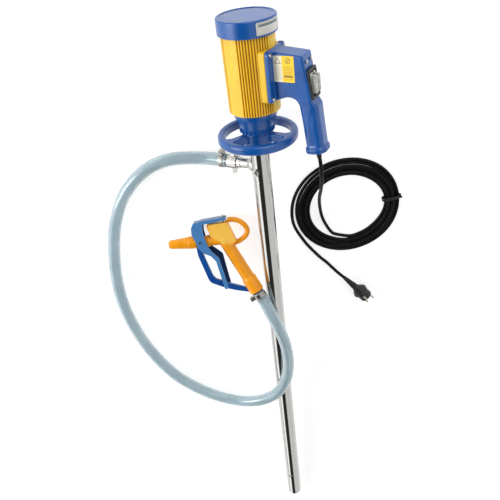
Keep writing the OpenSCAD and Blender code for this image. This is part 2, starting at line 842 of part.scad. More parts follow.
module plug_body() color(BLACK) plug_frame()
    difference() {
        union() {
            rotate_extrude()
                polygon([[0, 0], [5, 0], [6.5, 20], [9, 40], [13, 52], [17.5, 58], [18, 62],
                    [18, 68], [16.6, 69], [16.6, 86], [15.5, 87.5], [0, 87.5]]);
            translate([-14, -19, 58]) cube([28, 38, 10]);
        }
        for (y = [-prong_y, prong_y]) translate([0, y, 60]) cylinder(h = 40, r = prong_r);
    }

module plug_pins() color(STEEL) plug_frame()
    for (y = [-prong_y, prong_y]) translate([0, y, 62]) {
        cylinder(h = 43, r = prong_r);
        translate([0, 0, 43]) cylinder(h = 1.5, r1 = prong_r, r2 = prong_r - 1, $fn = 32);
    }

pump_tube();
foot_sleeve();
suction_strainer();
inner_tube();
shaft_bushes();
guide_vanes();
impeller();
pump_shaft();
shaft_driver();
shaft_seal();
tube_collar();
discharge_branch();
bonding_screw();
union_nut();
hose_tail();
hose_clamp_pump();
clamp_screw_pump();
handwheel();
motor_flange();
motor_housing();
stator();
field_windings();
armature();
motor_shaft();
commutator();
carbon_brushes();
brush_ring();
cooling_fan();
motor_bearings();
top_cap();
cap_screws();
name_plate();
handle();
handle_screws();
warning_label();
switch_bezel();
switch_block();
rocker_boot();
switch_screws();
grip_end_cap();
cable_gland();
hose();
hose_end_pump();
hose_end_nozzle();
hose_clamp_nozzle();
clamp_screw_nozzle();
nozzle_body();
nozzle_tail();
spout();
hanging_loop();
trigger_guard();
trigger_lever();
lever_pin();
valve_stem();
mains_lead();
lead_coil();
lead_to_plug();
coil_tie();
plug_body();
plug_pins();
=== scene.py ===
import json
import math

import bmesh
import bpy
from mathutils import Matrix, Vector


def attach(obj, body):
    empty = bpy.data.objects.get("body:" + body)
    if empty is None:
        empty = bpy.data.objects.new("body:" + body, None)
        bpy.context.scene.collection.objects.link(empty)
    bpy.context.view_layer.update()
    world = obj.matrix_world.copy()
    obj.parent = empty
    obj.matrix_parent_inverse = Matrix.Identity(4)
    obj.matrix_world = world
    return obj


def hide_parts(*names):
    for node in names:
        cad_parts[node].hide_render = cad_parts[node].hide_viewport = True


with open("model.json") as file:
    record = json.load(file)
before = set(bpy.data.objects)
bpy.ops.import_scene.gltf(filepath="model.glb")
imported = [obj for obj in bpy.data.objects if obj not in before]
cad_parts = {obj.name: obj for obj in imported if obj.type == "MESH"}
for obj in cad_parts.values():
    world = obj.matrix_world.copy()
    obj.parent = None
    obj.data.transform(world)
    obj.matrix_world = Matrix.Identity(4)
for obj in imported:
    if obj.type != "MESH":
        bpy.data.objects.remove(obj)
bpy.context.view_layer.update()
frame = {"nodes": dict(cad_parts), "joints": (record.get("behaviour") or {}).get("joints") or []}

# An electric drum pump lying on the floor. Shapes are drawn in millimetres in the frame of the
# thing that they belong to, and that frame's matrix carries them to the row frame in metres.
# PUMP stands on the pump axis: z up from the foot of the tube, the pistol grip towards +x.
# NOZZLE lies around the trigger valve: spout towards -x, hanging loop above, z towards the viewer.

MM = 0.001
SMOOTH_UNDER = math.radians(34)


# ---- frames ----

def joint(name):
    return next(j for j in frame["joints"] if j["name"] == name)


def axis_of(name):
    return Vector(joint(name)["axis"]).normalized()


def frame_matrix(across, along, known_point, its_place):
    """Frame with x across and z along, placed so that known_point, in mm, lies at its_place."""
    turn = Matrix((across, along.cross(across), along)).transposed().to_4x4()
    matrix = turn @ Matrix.Scale(MM, 4)
    matrix.translation = Vector(its_place) - matrix @ Vector(known_point)
    return matrix


def move(x, y, z):
    return Matrix.Translation((x, y, z))


def turn(degrees, axis):
    return Matrix.Rotation(math.radians(degrees), 4, axis)


WHEEL_Z = 1271
DISCHARGE_Z = 1199
PUMP = frame_matrix(-axis_of("union_turn"), axis_of("handwheel_turn"),
                    (0, 0, WHEEL_Z), joint("handwheel_turn")["pos_m"])
LEVER_PIN = (-56, -3)
NOZZLE = frame_matrix(axis_of("valve_lift").cross(axis_of("lever_squeeze")), axis_of("lever_squeeze"),
                      (*LEVER_PIN, 0), joint("lever_squeeze")["pos_m"])
FLOOR = Matrix.Translation((PUMP.translation.x, PUMP.translation.y, 0)) @ Matrix.Scale(MM, 4)

DISCHARGE = PUMP @ move(0, 0, DISCHARGE_Z) @ turn(-90, "Y")
GRIP = PUMP @ move(133.5, 0, 1256) @ turn(-6.3, "Y")
SWITCH = PUMP @ move(127.9, 0, 1391) @ turn(82, "Y")
GRIP_WAY = Vector((0.432, -0.902))
NOZZLE_GRIP = NOZZLE @ turn(math.degrees(math.atan2(GRIP_WAY.y, GRIP_WAY.x)), "Z") @ turn(90, "Y")
PLUG_AT = (183, 831, 18)
PLUG = FLOOR @ move(*PLUG_AT) @ turn(-49.7, "Z") @ turn(90, "Y")

GRIP_IN_NOZZLE = NOZZLE.inverted() @ NOZZLE_GRIP
SPOUT_WAY = move(0, -3, 0) @ turn(-90, "Y")
FACING_X = turn(90, "Z") @ turn(90, "X")


def in_pump(matrix):
    """A frame of the row, seen from PUMP."""
    return PUMP.inverted() @ matrix


# ---- outlines ----

def rounded(corners, steps=6):
    """Closed outline from corners (x, y, radius), each radius turned into an arc."""
    points = []
    for i, (x, y, radius) in enumerate(corners):
        here = Vector((x, y))
        before = Vector(corners[i - 1][:2]) - here
        after = Vector(corners[(i + 1) % len(corners)][:2]) - here
        half = before.angle(after) / 2
        if radius <= 0 or half > math.radians(89.5):
            points.append(here)
            continue
        reach = min(radius / math.tan(half), 0.49 * before.length, 0.49 * after.length)
        radius = reach * math.tan(half)
        centre = here + (before.normalized() + after.normalized()).normalized() * radius / math.sin(half)
        first = here + before.normalized() * reach - centre
        last = here + after.normalized() * reach - centre
        for k in range(steps + 1):
            points.append(centre + first.slerp(last, k / steps) * radius if k % steps else
                          centre + (last if k else first))
    return points


def rectangle(width, height, radius, x=0, y=0):
    w, h = width / 2, height / 2
    return rounded([(x - w, y - h, radius), (x + w, y - h, radius),
                    (x + w, y + h, radius), (x - w, y + h, radius)])


# ---- solids ----

def tidy(bm):
    bmesh.ops.remove_doubles(bm, verts=bm.verts, dist=0.001)
    bmesh.ops.recalc_face_normals(bm, faces=bm.faces)
    return bm


def turned(profile, steps=96, closed=False):
    """Solid turned round z from (r, z) points; closed joins the last point to the first."""
    bm = bmesh.new()
    verts = [bm.verts.new((r, 0, z)) for r, z in profile]
    pairs = list(zip(verts, verts[1:])) + ([(verts[-1], verts[0])] if closed else [])
    edges = [bm.edges.new(pair) for pair in pairs]
    bmesh.ops.spin(bm, geom=verts + edges, axis=(0, 0, 1), cent=(0, 0, 0),
                   angle=2 * math.pi, steps=steps, use_merge=True)
    return tidy(bm)


def prism(outline, z0, z1):
    bm = bmesh.new()
    face = bm.faces.new([bm.verts.new((p[0], p[1], z0)) for p in outline])
    grown = bmesh.ops.extrude_face_region(bm, geom=[face])["geom"]
    top = [g for g in grown if isinstance(g, bmesh.types.BMVert)]
    bmesh.ops.translate(bm, vec=(0, 0, z1 - z0), verts=top)
    return tidy(bm)


def rod(radius, z0, z1, steps=32):
    return turned([(0, z0), (radius, z0), (radius, z1), (0, z1)], steps)


def lofted(rings):
    """Skin stretched from ring to ring of points and closed over both ends."""
    bm = bmesh.new()
    loops = []
    for points in rings:
        ring = [bm.verts.new(p) for p in points]
        loops.append([bm.edges.new((ring[i - 1], ring[i])) for i in range(len(ring))])
    for first, second in zip(loops, loops[1:]):
        bmesh.ops.bridge_loops(bm, edges=first + second)
    for end in (loops[0], loops[-1]):
        bmesh.ops.contextual_create(bm, geom=end)
    return bm


def soften(bm, width, segments=3, angle=40):
    """Rounds every edge that is sharper than the angle."""
    sharp = [e for e in bm.edges if len(e.link_faces) == 2 and e.calc_face_angle(0) > math.radians(angle)]
    bmesh.ops.bevel(bm, geom=sharp, offset=width, offset_type="OFFSET", affect="EDGES",
                    segments=segments, profile=0.5, material=-1, clamp_overlap=True)
    return bm


def placed(bm, matrix):
    bmesh.ops.transform(bm, matrix=matrix, verts=bm.verts)
    if matrix.determinant() < 0:
        bmesh.ops.reverse_faces(bm, faces=bm.faces)
    return bm


def gathered(parts):
    """Several separate solids as one mesh."""
    whole = bmesh.new()
    for part in parts:
        mesh = bpy.data.meshes.new("part")
        part.to_mesh(mesh)
        part.free()
        whole.from_mesh(mesh)
        bpy.data.meshes.remove(mesh)
    return whole


def linked(name, data):
    """New object of the scene with that data."""
    made = bpy.data.objects.new(name, data)
    bpy.context.scene.collection.objects.link(made)
    return made


def in_scene(name, bm):
    """Turns a working mesh into an object of the scene."""
    mesh = bpy.data.meshes.new(name)
    bm.to_mesh(mesh)
    bm.free()
    return linked(name, mesh)


def bench(bm):
    """Puts a mesh on the bench, for a modifier."""
    return in_scene("bench", bm)


def off_bench(work, *others):
    """The object's mesh with its modifiers applied; everything on the bench is cleared."""
    bpy.context.view_layer.update()
    mesh = bpy.data.meshes.new_from_object(work.evaluated_get(bpy.context.evaluated_depsgraph_get()))
    bm = bmesh.new()
    bm.from_mesh(mesh)
    for used in (work, *others):
        old = used.data
        bpy.data.objects.remove(used)
        if isinstance(old, bpy.types.Mesh):
            bpy.data.meshes.remove(old)
        else:
            bpy.data.curves.remove(old)
    bpy.data.meshes.remove(mesh)
    return bm


def combined(base, tools, how):
    """Boolean of a solid with others: how is UNION or DIFFERENCE."""
    work = bench(base)
    others = [bench(tool) for tool in tools]
    for other in others:
        blend = work.modifiers.new("cut", "BOOLEAN")
        blend.operation = how
        blend.solver = "EXACT"
        blend.object = other
    return tidy(off_bench(work, *others))


def cut(base, tools):
    return combined(base, tools, "DIFFERENCE")


def joined(base, tools):
    return combined(base, tools, "UNION")


def moulded(bm, grain, passes):
    """Melts overlapping solids into one cast or moulded shape with soft corners."""
    work = bench(bm)
    melt = work.modifiers.new("melt", "REMESH")
    melt.mode = "VOXEL"
    melt.voxel_size = grain
    ease = work.modifiers.new("ease", "SMOOTH")
    ease.factor = 0.5
    ease.iterations = passes
    return off_bench(work)


def cord_along(name, points, radius, rounds, caps=True):
    """Round cord along a line of points, as a curve; rounds is the bevel resolution."""
    curve = bpy.data.curves.new(name, "CURVE")
    curve.dimensions = "3D"
    spline = curve.splines.new("POLY")
    spline.points.add(len(points) - 1)
    for spot, p in zip(spline.points, points):
        spot.co = (*p, 1)
    curve.bevel_depth = radius
    curve.bevel_resolution = rounds
    curve.use_fill_caps = caps
    return linked(name, curve)


def tube_along(points, radius, sides, caps=True):
    """Round bar or hose along a line of points, as a mesh."""
    return off_bench(cord_along("bench", points, radius, sides // 2 - 1, caps))


def smooth_line(points, parts):
    """Smooth line through the points, each stretch in that many parts."""
    points = [Vector(p) for p in points]
    padded = [2 * points[0] - points[1], *points, 2 * points[-1] - points[-2]]
    line = []
    for a, b, c, d in zip(padded, padded[1:], padded[2:], padded[3:]):
        for k in range(parts):
            t = k / parts
            line.append(0.5 * (2 * b + t * (c - a) + t * t * (2 * a - 5 * b + 4 * c - d)
                               + t ** 3 * (3 * b - a - 3 * c + d)))
    return [*line, points[-1]]


def length_of(line):
    return sum((q - p).length for p, q in zip(line, line[1:]))


# ---- pieces ----

def put(name, bm, matrix, finish, nodes=(), body="pump", weighted=True):
    """Makes a finished piece from a solid drawn in its own frame."""
    piece = in_scene(name, placed(bm, matrix))
    piece.data.shade_smooth()
    piece.data.set_sharp_from_angle(angle=SMOOTH_UNDER)
    piece.data.materials.append(finish)
    if weighted:
        even = piece.modifiers.new("even", "WEIGHTED_NORMAL")
        even.keep_sharp = True
    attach(piece, body)
    if nodes:
        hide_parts(*nodes)
    return piece


EDGE_BREAK = 0.35


def solid_of(node):
    """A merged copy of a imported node's mesh, in the row frame, in metres."""
    bm = bmesh.new()
    bm.from_mesh(frame["nodes"][node].data)
    bmesh.ops.remove_doubles(bm, verts=bm.verts, dist=2e-6)
    bmesh.ops.dissolve_limit(bm, angle_limit=math.radians(1), verts=bm.verts, edges=bm.edges)
    return bm


def eased(node, finish, body):
    """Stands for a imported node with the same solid, its edges broken as a machinist would."""
    bm = soften(solid_of(node), EDGE_BREAK * MM, 2, 38)
    return put(node.replace("_", "-"), bm, Matrix.Identity(4), finish, [node], body)


# ---- finishes ----

def rgb(red, green, blue):
    """A colour from 0 to 255 screen values."""
    def linear(v):
        v /= 255
        return v / 12.92 if v <= 0.04045 else ((v + 0.055) / 1.055) ** 2.4
    return (linear(red), linear(green), linear(blue), 1)


def arithmetic(operation, swapped=False):
    """Method of Wire that adds one Math node."""
    def method(self, other):
        pair = (other, self) if swapped else (self, other)
        return self.math(operation, *pair)
    return method


class Wire:
    """A number that varies over a surface; arithmetic on it adds Math nodes."""

    def __init__(self, finish, socket):
        self.finish = finish
        self.socket = socket

    def math(self, operation, *values):
        made = self.finish.node("ShaderNodeMath", {"operation": operation}, *values)
        return Wire(self.finish, made.outputs[0])

    def __abs__(self):
        return self.math("ABSOLUTE", self)

    __add__ = __radd__ = arithmetic("ADD")
    __sub__ = arithmetic("SUBTRACT")
    __rsub__ = arithmetic("SUBTRACT", swapped=True)
    __mul__ = __rmul__ = arithmetic("MULTIPLY")
    __truediv__ = arithmetic("DIVIDE")
    __gt__ = arithmetic("GREATER_THAN")
    __lt__ = arithmetic("LESS_THAN")
    largest = arithmetic("MAXIMUM")


class Finish:
    """A surface finish on object coordinates. Constants go straight on the shader's sockets."""

    def __init__(self, name, colour, **constants):
        self.material = bpy.data.materials.new(name)
        self.material.use_nodes = True
        self.tree = self.material.node_tree
        self.shader = self.tree.nodes["Principled BSDF"]
        self.shader.inputs["Base Color"].default_value = colour
        for socket, value in constants.items():
            self.shader.inputs[socket.replace("_", " ").title().replace("Ior", "IOR")].default_value = value
        self.place = self.node("ShaderNodeTexCoord", {}).outputs["Object"]

    def fill(self, socket, value):
        """Links a wire or an output to the socket, or sets a plain value on it."""
        if isinstance(value, Wire):
            value = value.socket
        if isinstance(value, bpy.types.NodeSocket):
            self.tree.links.new(value, socket)
        else:
            socket.default_value = value

    def node(self, kind, settings, *values, **named):
        made = self.tree.nodes.new(kind)
        for key, value in settings.items():
            setattr(made, key, value)
        for i, value in enumerate(values):
            self.fill(made.inputs[i], value)
        for key, value in named.items():
            self.fill(made.inputs[key], value)
        return made

    def seen_from(self, matrix, stretch=(1, 1, 1)):
        """Coordinates in a piece's own frame, in mm, divided by stretch."""
        scale = [MM * s for s in stretch]
        return self.node("ShaderNodeMapping", {"vector_type": "TEXTURE"}, Vector=self.place,
                         Location=matrix.translation, Rotation=matrix.to_euler(), Scale=scale).outputs[0]

    def axes(self, where):
        split = self.node("ShaderNodeSeparateXYZ", {}, where)
        return [Wire(self, out) for out in split.outputs]

    def noise(self, size, where=None, detail=3.0, rough=0.55):
        """Noise from 0 to 1 with features of that size in mm; in a piece's frame, in its units."""
        per = 1 / size if where else 1 / (size * MM)
        made = self.node("ShaderNodeTexNoise", {}, Vector=where or self.place, Scale=per, Detail=detail,
                         Roughness=rough)
        return Wire(self, made.outputs["Fac"])

    def band(self, value, low, high, out_low=0.0, out_high=1.0):
        """Maps low..high to the output range and holds it at the ends."""
        made = self.node("ShaderNodeMapRange", {}, value, low, high, out_low, out_high)
        return Wire(self, made.outputs[0])

    def blend(self, factor, first, second):
        made = self.node("ShaderNodeMix", {"data_type": "RGBA"})
        for key, value in ((0, factor), (6, first), (7, second)):
            self.fill(made.inputs[key], value)
        return made.outputs[2]

    def done(self, colour, roughness, height, depth):
        """The finished material; height from 0 to 1 stands for a relief of depth in mm."""
        relief = self.node("ShaderNodeBump", {}, Strength=1.0, Distance=depth * MM, Height=height)
        self.fill(self.shader.inputs["Base Color"], colour)
        self.fill(self.shader.inputs["Roughness"], roughness)
        self.fill(self.shader.inputs["Normal"], relief.outputs[0])
        return self.material


def shade(colour, factor):
    return (*[min(1.0, c * factor) for c in colour[:3]], 1)


def painted_metal(name, colour, dusty):
    """Powder coat: a fine orange-peel skin, slow changes of shade and a few rubbed patches."""
    f = Finish(name, colour, roughness=0.3, coat_weight=0.25, coat_roughness=0.18, specular_ior_level=0.5)
    cloud = f.noise(38, detail=2)
    rubbed = f.band(f.noise(9, detail=6, rough=0.7), 0.58, 0.74)
    tone = f.blend(f.band(cloud, 0.35, 0.65), shade(colour, 0.88), shade(colour, 1.1))
    skin = f.blend(rubbed * 0.16, tone, dusty)
    gloss = f.band(cloud, 0.3, 0.7, 0.27, 0.36) + rubbed * 0.12
    return f.done(skin, gloss, f.noise(0.9, detail=2) * 0.7 + f.noise(3.5, detail=1) * 0.3, 0.035)


def cast_yellow():
    """Die-cast housing in yellow paint, with painted shade, darker and warmer, between the fins."""
    colour = rgb(234, 188, 22)
    f = Finish("yellow_paint", colour, roughness=0.34, coat_weight=0.2, coat_roughness=0.22)
    x, y, _ = f.axes(f.seen_from(PUMP))
    out = x.math("SQRT", x * x + y * y)
    # Painted shade: the colour turns a darker, warmer orange towards the bottom of each groove between the
    # fins.
    deep = f.band(out, 49.3, 52.4, 1.0, 0.0) * (x < 47.5)
    cloud = f.noise(30, detail=2)
    tone = f.blend(f.band(cloud, 0.35, 0.65), shade(colour, 0.93), shade(colour, 1.04))
    skin = f.blend(deep, tone, rgb(196, 128, 4))
    gloss = f.band(cloud, 0.3, 0.7, 0.3, 0.42) + deep * 0.2
    return f.done(skin, gloss, f.noise(0.8, detail=2) * 0.6 + f.noise(3, detail=2) * 0.4, 0.05)


def drawn_steel(name, matrix, low, high):
    """Polished tube: fine draw lines run along the frame's z axis, with faint water marks."""
    f = Finish(name, rgb(197, 196, 193), metallic=1.0, roughness=0.12)
    lines = f.noise(1, f.seen_from(matrix, (0.5, 0.5, 160)), detail=4)
    marks = f.noise(24, detail=3)
    skin = f.blend(lines * marks, rgb(188, 187, 184), rgb(206, 205, 202))
    gloss = f.band(lines, 0.3, 0.7, low, high) + f.band(marks, 0.55, 0.75, 0, 0.06)
    return f.done(skin, gloss, lines, 0.004)


def bright_steel(name, colour, low, high, tint):
    """Turned or pressed metal with fine scratches and a little tarnish."""
    f = Finish(name, colour, metallic=1.0, roughness=0.25)
    scratch = f.noise(0.5, detail=5, rough=0.7)
    tarnish = f.band(f.noise(7, detail=4), 0.52, 0.72)
    skin = f.blend(tarnish * 0.6, colour, tint)
    gloss = f.band(scratch, 0.3, 0.7, low, high) + tarnish * 0.12
    return f.done(skin, gloss, scratch, 0.01)


def moulded_plastic(name, colour, roughness, grain=0.35, relief=0.02, wear_and_highlight=None, painted_light=None):
    """Spark-eroded mould skin with slow changes of gloss and shade.

    The function passed last gives the share of paler skin on flat faces, a painted highlight, and the share
    of darker skin in a hollow, a painted shade."""
    f = Finish(name, colour, roughness=roughness, specular_ior_level=0.5)
    cloud = f.noise(22, detail=3)
    scuffs = f.band(f.noise(5, detail=7, rough=0.75), 0.6, 0.76)
    tone = f.blend(f.band(cloud, 0.35, 0.65), shade(colour, 0.92), shade(colour, 1.07))
    if painted_light:
        # Painted light: flat faces take the wear colour as a painted highlight, and a hollow turns near black
        # as a painted shade.
        pale, deep = painted_light(f)
        tone = f.blend(pale, tone, wear_and_highlight)
        tone = f.blend(deep, tone, shade(colour, 0.2))
    skin = f.blend(scuffs * 0.2, tone, wear_and_highlight or shade(colour, 1.35))
    gloss = f.band(cloud, 0.3, 0.7, roughness - 0.05, roughness + 0.06) + scuffs * 0.1
    return f.done(skin, gloss, f.noise(grain, detail=2), relief)


def valve_painted_highlight(f):
    """The flat faces of the valve block are painted paler than the grip and the spout, as a painted
    highlight.
    """
    x, y, z = f.axes(f.seen_from(NOZZLE))
    return f.band(abs(z), 12.2, 13.4) * f.band(y, -16, -8) * f.band(x, -34, -30) * 0.8, 0.0


def lever_painted_light(f):
    """The lever's outer faces get a paler painted highlight, and its channel gets a dark painted shade."""
    _, _, z = f.axes(f.seen_from(NOZZLE))
    side = abs(z)
    return f.band(side, 16.6, 18.2) * 0.62, (side > 6.6) * (side < 15.7) * 0.85


CAP_R, CAP_Z, CAP_TOP = 59, 1483, 1514
FOIL_Z = CAP_Z + 15.5
FOIL_TURN = -17


def silver_sticker():
    """Brushed foil with a dark band along its top and a fine grey frame, all without words."""
    f = Finish("silver_label", rgb(205, 203, 198), metallic=0.75, roughness=0.3)
    x, y, z = f.axes(f.seen_from(PUMP @ turn(FOIL_TURN, "Z")))
    along = y.math("ARCTAN2", y, x) * (CAP_R + 0.3)
    up = z - FOIL_Z
    inside = (abs(along) < 27.2) * (abs(up) < 9.2)
    edge = (abs(along) < 28) * (abs(up) < 10) * (1 - inside)
    head = (up > 3.2) * (up < 8) * (abs(along) < 25.5)
    lines = (up.math("FRACT", (up + 10) / 2.9) < 0.22) * (up < 0.5) * (up > -8) * (abs(along + 6) < 16)
    grain = f.noise(1, f.seen_from(PUMP, (6, 6, 0.15)), detail=3)
    foil = f.blend(grain, rgb(186, 184, 178), rgb(222, 220, 214))
    marked = f.blend(head, foil, rgb(112, 128, 132))
    marked = f.blend(lines * 0.45, marked, rgb(120, 120, 118))
    skin = f.blend(edge * 0.6, marked, rgb(110, 112, 112))
    gloss = f.band(grain, 0.3, 0.7, 0.26, 0.4) + head * 0.15
    return f.done(skin, gloss, grain, 0.01)


STICKER_X = (59.5, 101.5)
STICKER_Z = (1396.5, 1446.5)


def printed_sticker():
    """Half white, half yellow sticker: a plain triangle, a plain disc and bars instead of words."""
    white, yellow, ink = rgb(246, 240, 208), rgb(252, 206, 10), rgb(70, 58, 20)
    f = Finish("printed_label", white, roughness=0.32, coat_weight=0.5, coat_roughness=0.15)
    x, _, z = f.axes(f.seen_from(PUMP))
    across = x - STICKER_X[0]
    up = z - STICKER_Z[0]
    right = f.band(across, 17.2, 17.9)
    paper = f.blend(f.noise(1.2, detail=2), shade(white, 0.95), white)
    paper = f.blend(right, paper, yellow)
    slant = abs(across - 9)
    outer = (up > 35) * ((slant * 1.75 + up) < 47.5)
    inner = (up > 36.2) * ((slant * 1.75 + up) < 45)
    disc_x = across - 29.5
    disc_y = up - 41
    reach = disc_x.math("SQRT", disc_x * disc_x + disc_y * disc_y)
    disc = (reach < 5.4) * (1 - (reach < 4.1) * (abs(disc_x - disc_y) > 1.2))
    row = up.math("FRACT", up / 3.1)
    bars = (row < 0.42) * (up > 4) * (up < 31)
    left_bars = bars * (abs(across - 9) < 6.5)
    right_bars = bars * (abs(across - 29.5) < 9)
    heavy = (abs(up - 11.5) < 1.5) * (abs(across - 29.5) < 9.5)
    marks = (outer * (1 - inner)).largest(disc) * 0.8
    marks = marks.largest(left_bars * 0.28).largest(right_bars * 0.5).largest(heavy * 0.8)
    skin = f.blend(marks, paper, ink)
    gloss = f.band(f.noise(4, detail=4), 0.3, 0.7, 0.28, 0.38)
    return f.done(skin, gloss, f.noise(0.6, detail=2), 0.008)


def clear_pvc():
    """Clear hose: smoky blue-grey wall, with faint draw lines along its length."""
    colour = rgb(202, 220, 226)
    f = Finish("clear_hose", colour, roughness=0.16, transmission_weight=0.62, ior=1.42, coat_weight=0.6,
               coat_roughness=0.05)
    length, round_it, _ = f.axes(f.node("ShaderNodeUVMap", {"uv_map": "along"}).outputs[0])
    lay = f.node("ShaderNodeCombineXYZ", {}, length * 1.5, round_it * 46, 0.0).outputs[0]
    draw = f.noise(1, lay, detail=3)
    haze = f.noise(55, detail=2)
    skin = f.blend(f.band(haze, 0.3, 0.7) * 0.7 + draw * 0.3, rgb(184, 206, 214), rgb(214, 230, 236))
    gloss = f.band(draw, 0.3, 0.7, 0.1, 0.24)
    return f.done(skin, gloss, draw * 0.7 + f.noise(2, detail=2) * 0.3, 0.05)


def cable_rubber():
    """Black rubber sheath: matt bloom in patches, fine talc speckle and a soft extruded skin."""
    f = Finish("black_rubber", rgb(20, 20, 21), roughness=0.4, specular_ior_level=0.12)
    bloom = f.noise(14, detail=4)
    speckle = f.band(f.noise(0.7, detail=6, rough=0.8), 0.62, 0.75)
    skin = f.blend(f.band(bloom, 0.35, 0.7) * 0.4 + speckle * 0.2, rgb(6, 6, 7), rgb(34, 34, 34))
    gloss = f.band(bloom, 0.3, 0.7, 0.34, 0.52)
    return f.done(skin, gloss, f.noise(0.6, detail=3) * 0.5 + f.noise(4, detail=1) * 0.5, 0.05)


def boot_rubber():
    """Milky grey rubber over the switch, with a silky shine and a near-black painted shade in the crease
    between the two lobes.
    """
    f = Finish("grey_boot", rgb(176, 177, 170), roughness=0.24, specular_ior_level=0.6, coat_weight=0.4,
               coat_roughness=0.1)
    cloud = f.noise(6, detail=3)
    _, y, _ = f.axes(f.seen_from(SWITCH))
    milky = f.blend(f.band(cloud, 0.35, 0.65), rgb(160, 161, 154), rgb(198, 199, 192))
    # Painted shade: a near-black strip along the crease between the two lobes.
    skin = f.blend(f.band(abs(y), 1.6, 3.0), rgb(14, 15, 14), milky)
    gloss = f.band(cloud, 0.3, 0.7, 0.2, 0.32)
    return f.done(skin, gloss, f.noise(0.5, detail=2), 0.02)


def laminated():
    """Stack of steel sheets: fine lines square to the shaft."""
    f = Finish("lamination_steel", rgb(120, 118, 114), metallic=0.9, roughness=0.45)
    _, _, z = f.axes(f.seen_from(PUMP))
    sheet = z.math("PINGPONG", z, 0.35) / 0.35
    skin = f.blend(sheet, rgb(84, 80, 76), rgb(142, 139, 134))
    gloss = f.band(f.noise(3, detail=4), 0.3, 0.7, 0.35, 0.6)
    return f.done(skin, gloss, sheet, 0.05)


def wound_copper():
    """Enamelled wire: close turns that run round the motor."""
    f = Finish("copper", rgb(184, 104, 52), metallic=1.0, roughness=0.3)
    x, y, z = f.axes(f.seen_from(PUMP))
    out = x.math("SQRT", x * x + y * y)
    strand = out.math("PINGPONG", out + z * 1.7, 0.5) * 2
    skin = f.blend(strand, rgb(120, 56, 24), rgb(206, 126, 70))
    gloss = f.band(strand, 0, 1, 0.45, 0.22)
    return f.done(skin, gloss, strand, 0.2)


BLUE = painted_metal("blue_paint", rgb(0, 76, 150), rgb(80, 138, 184))
YELLOW = cast_yellow()
TUBE_STEEL = drawn_steel("stainless_polished", PUMP, 0.07, 0.16)
FITTING_STEEL = bright_steel("stainless_plain", rgb(192, 190, 186), 0.1, 0.22, rgb(138, 130, 116))
CLAMP_STEEL = bright_steel("clamp_steel", rgb(168, 164, 156), 0.16, 0.3, rgb(104, 84, 58))
SCREW_STEEL = bright_steel("screw_steel", rgb(190, 190, 188), 0.16, 0.3, rgb(120, 120, 118))
BRASS = bright_steel("plated_brass", rgb(190, 184, 170), 0.12, 0.24, rgb(150, 122, 74))
# The wear colour of the amber and the blue plastic also serves as their painted highlight on flat faces.
AMBER = moulded_plastic("amber_plastic", rgb(236, 150, 0), 0.33, wear_and_highlight=rgb(240, 196, 84),
                        painted_light=valve_painted_highlight)
NOZZLE_BLUE = moulded_plastic("blue_plastic", rgb(4, 70, 146), 0.3, wear_and_highlight=rgb(84, 142, 190),
                              painted_light=lever_painted_light)
BLACK_PLASTIC = moulded_plastic("black_plastic", rgb(13, 13, 14), 0.42, wear_and_highlight=rgb(48, 48, 48))
PTFE = moulded_plastic("ptfe", rgb(232, 230, 222), 0.4)
CARBON = moulded_plastic("carbon", rgb(38, 38, 40), 0.6, grain=0.5, relief=0.05)
RUBBER = cable_rubber()
BOOT = boot_rubber()
FOIL = silver_sticker()
STICKER = printed_sticker()
LAMINATED = laminated()
COPPER = wound_copper()
HOSE_PVC = clear_pvc()


# ---- cords ----

HOSE_D = 30
HOSE_BORE = 20
HOSE_ROUTE = [
    (-95, 1200, 31), (-122, 1201, 20), (-158, 1204, 15.5), (-200, 1206, 15), (-235, 1199, 15),
    (-268, 1184, 15), (-299, 1160, 15), (-328, 1127, 15), (-350, 1089, 15), (-368, 1045, 15),
    (-381, 996, 15), (-391, 943, 15), (-397, 890, 15), (-398, 835, 15), (-392, 776, 15),
    (-380, 717, 15), (-360, 655, 15), (-333, 596, 15), (-299, 542, 15.5), (-257, 500, 18),
    (-213, 471, 24), (-167, 455, 34), (-123, 453, 47), (-82, 463, 61), (-46, 484, 73),
    (-16, 515, 82), (5, 556, 88), (16, 605, 92), (18, 656, 96), (13, 706, 99),
    (1, 757, 101), (-14, 802, 98.5), (-30, 843, 89.5)]
HOSE_START = 82
HOSE_STOP = 158

LEAD_D = 8
LEAD_ROUTE = [
    (120, 1231, 147), (122, 1213, 146), (123, 1194, 142), (124, 1175, 135), (124, 1156, 124),
    (124, 1138, 110), (124, 1121, 93), (124, 1105, 75), (125, 1088, 57), (126, 1070, 42),
    (128, 1050, 29), (131, 1028, 18), (136, 1006, 10), (144, 985, 5), (153, 968, 4), (164, 957, 4)]
TAIL_ROUTE = [
    (87, 946, 4), (99, 927, 4), (112, 909, 4), (126, 891, 4), (141, 875, 5), (154, 860, 8),
    (168, 845, 13), PLUG_AT]
COIL_AT = (195, 1030)
COIL_R = 106
COIL_START = 258
COIL_TURNS = 5.866
COIL_PITCH = 6.95
LOOSE_FROM = 5.45
PRESSED = 0.3
TIE_ANGLE = 8


def hump(angle, middle, half_width):
    """1 at the middle angle, easing to 0 that far to each side."""
    away = abs((angle - middle + 180) % 360 - 180) / half_width
    return 0.0 if away >= 1 else (1 + math.cos(math.pi * away)) / 2


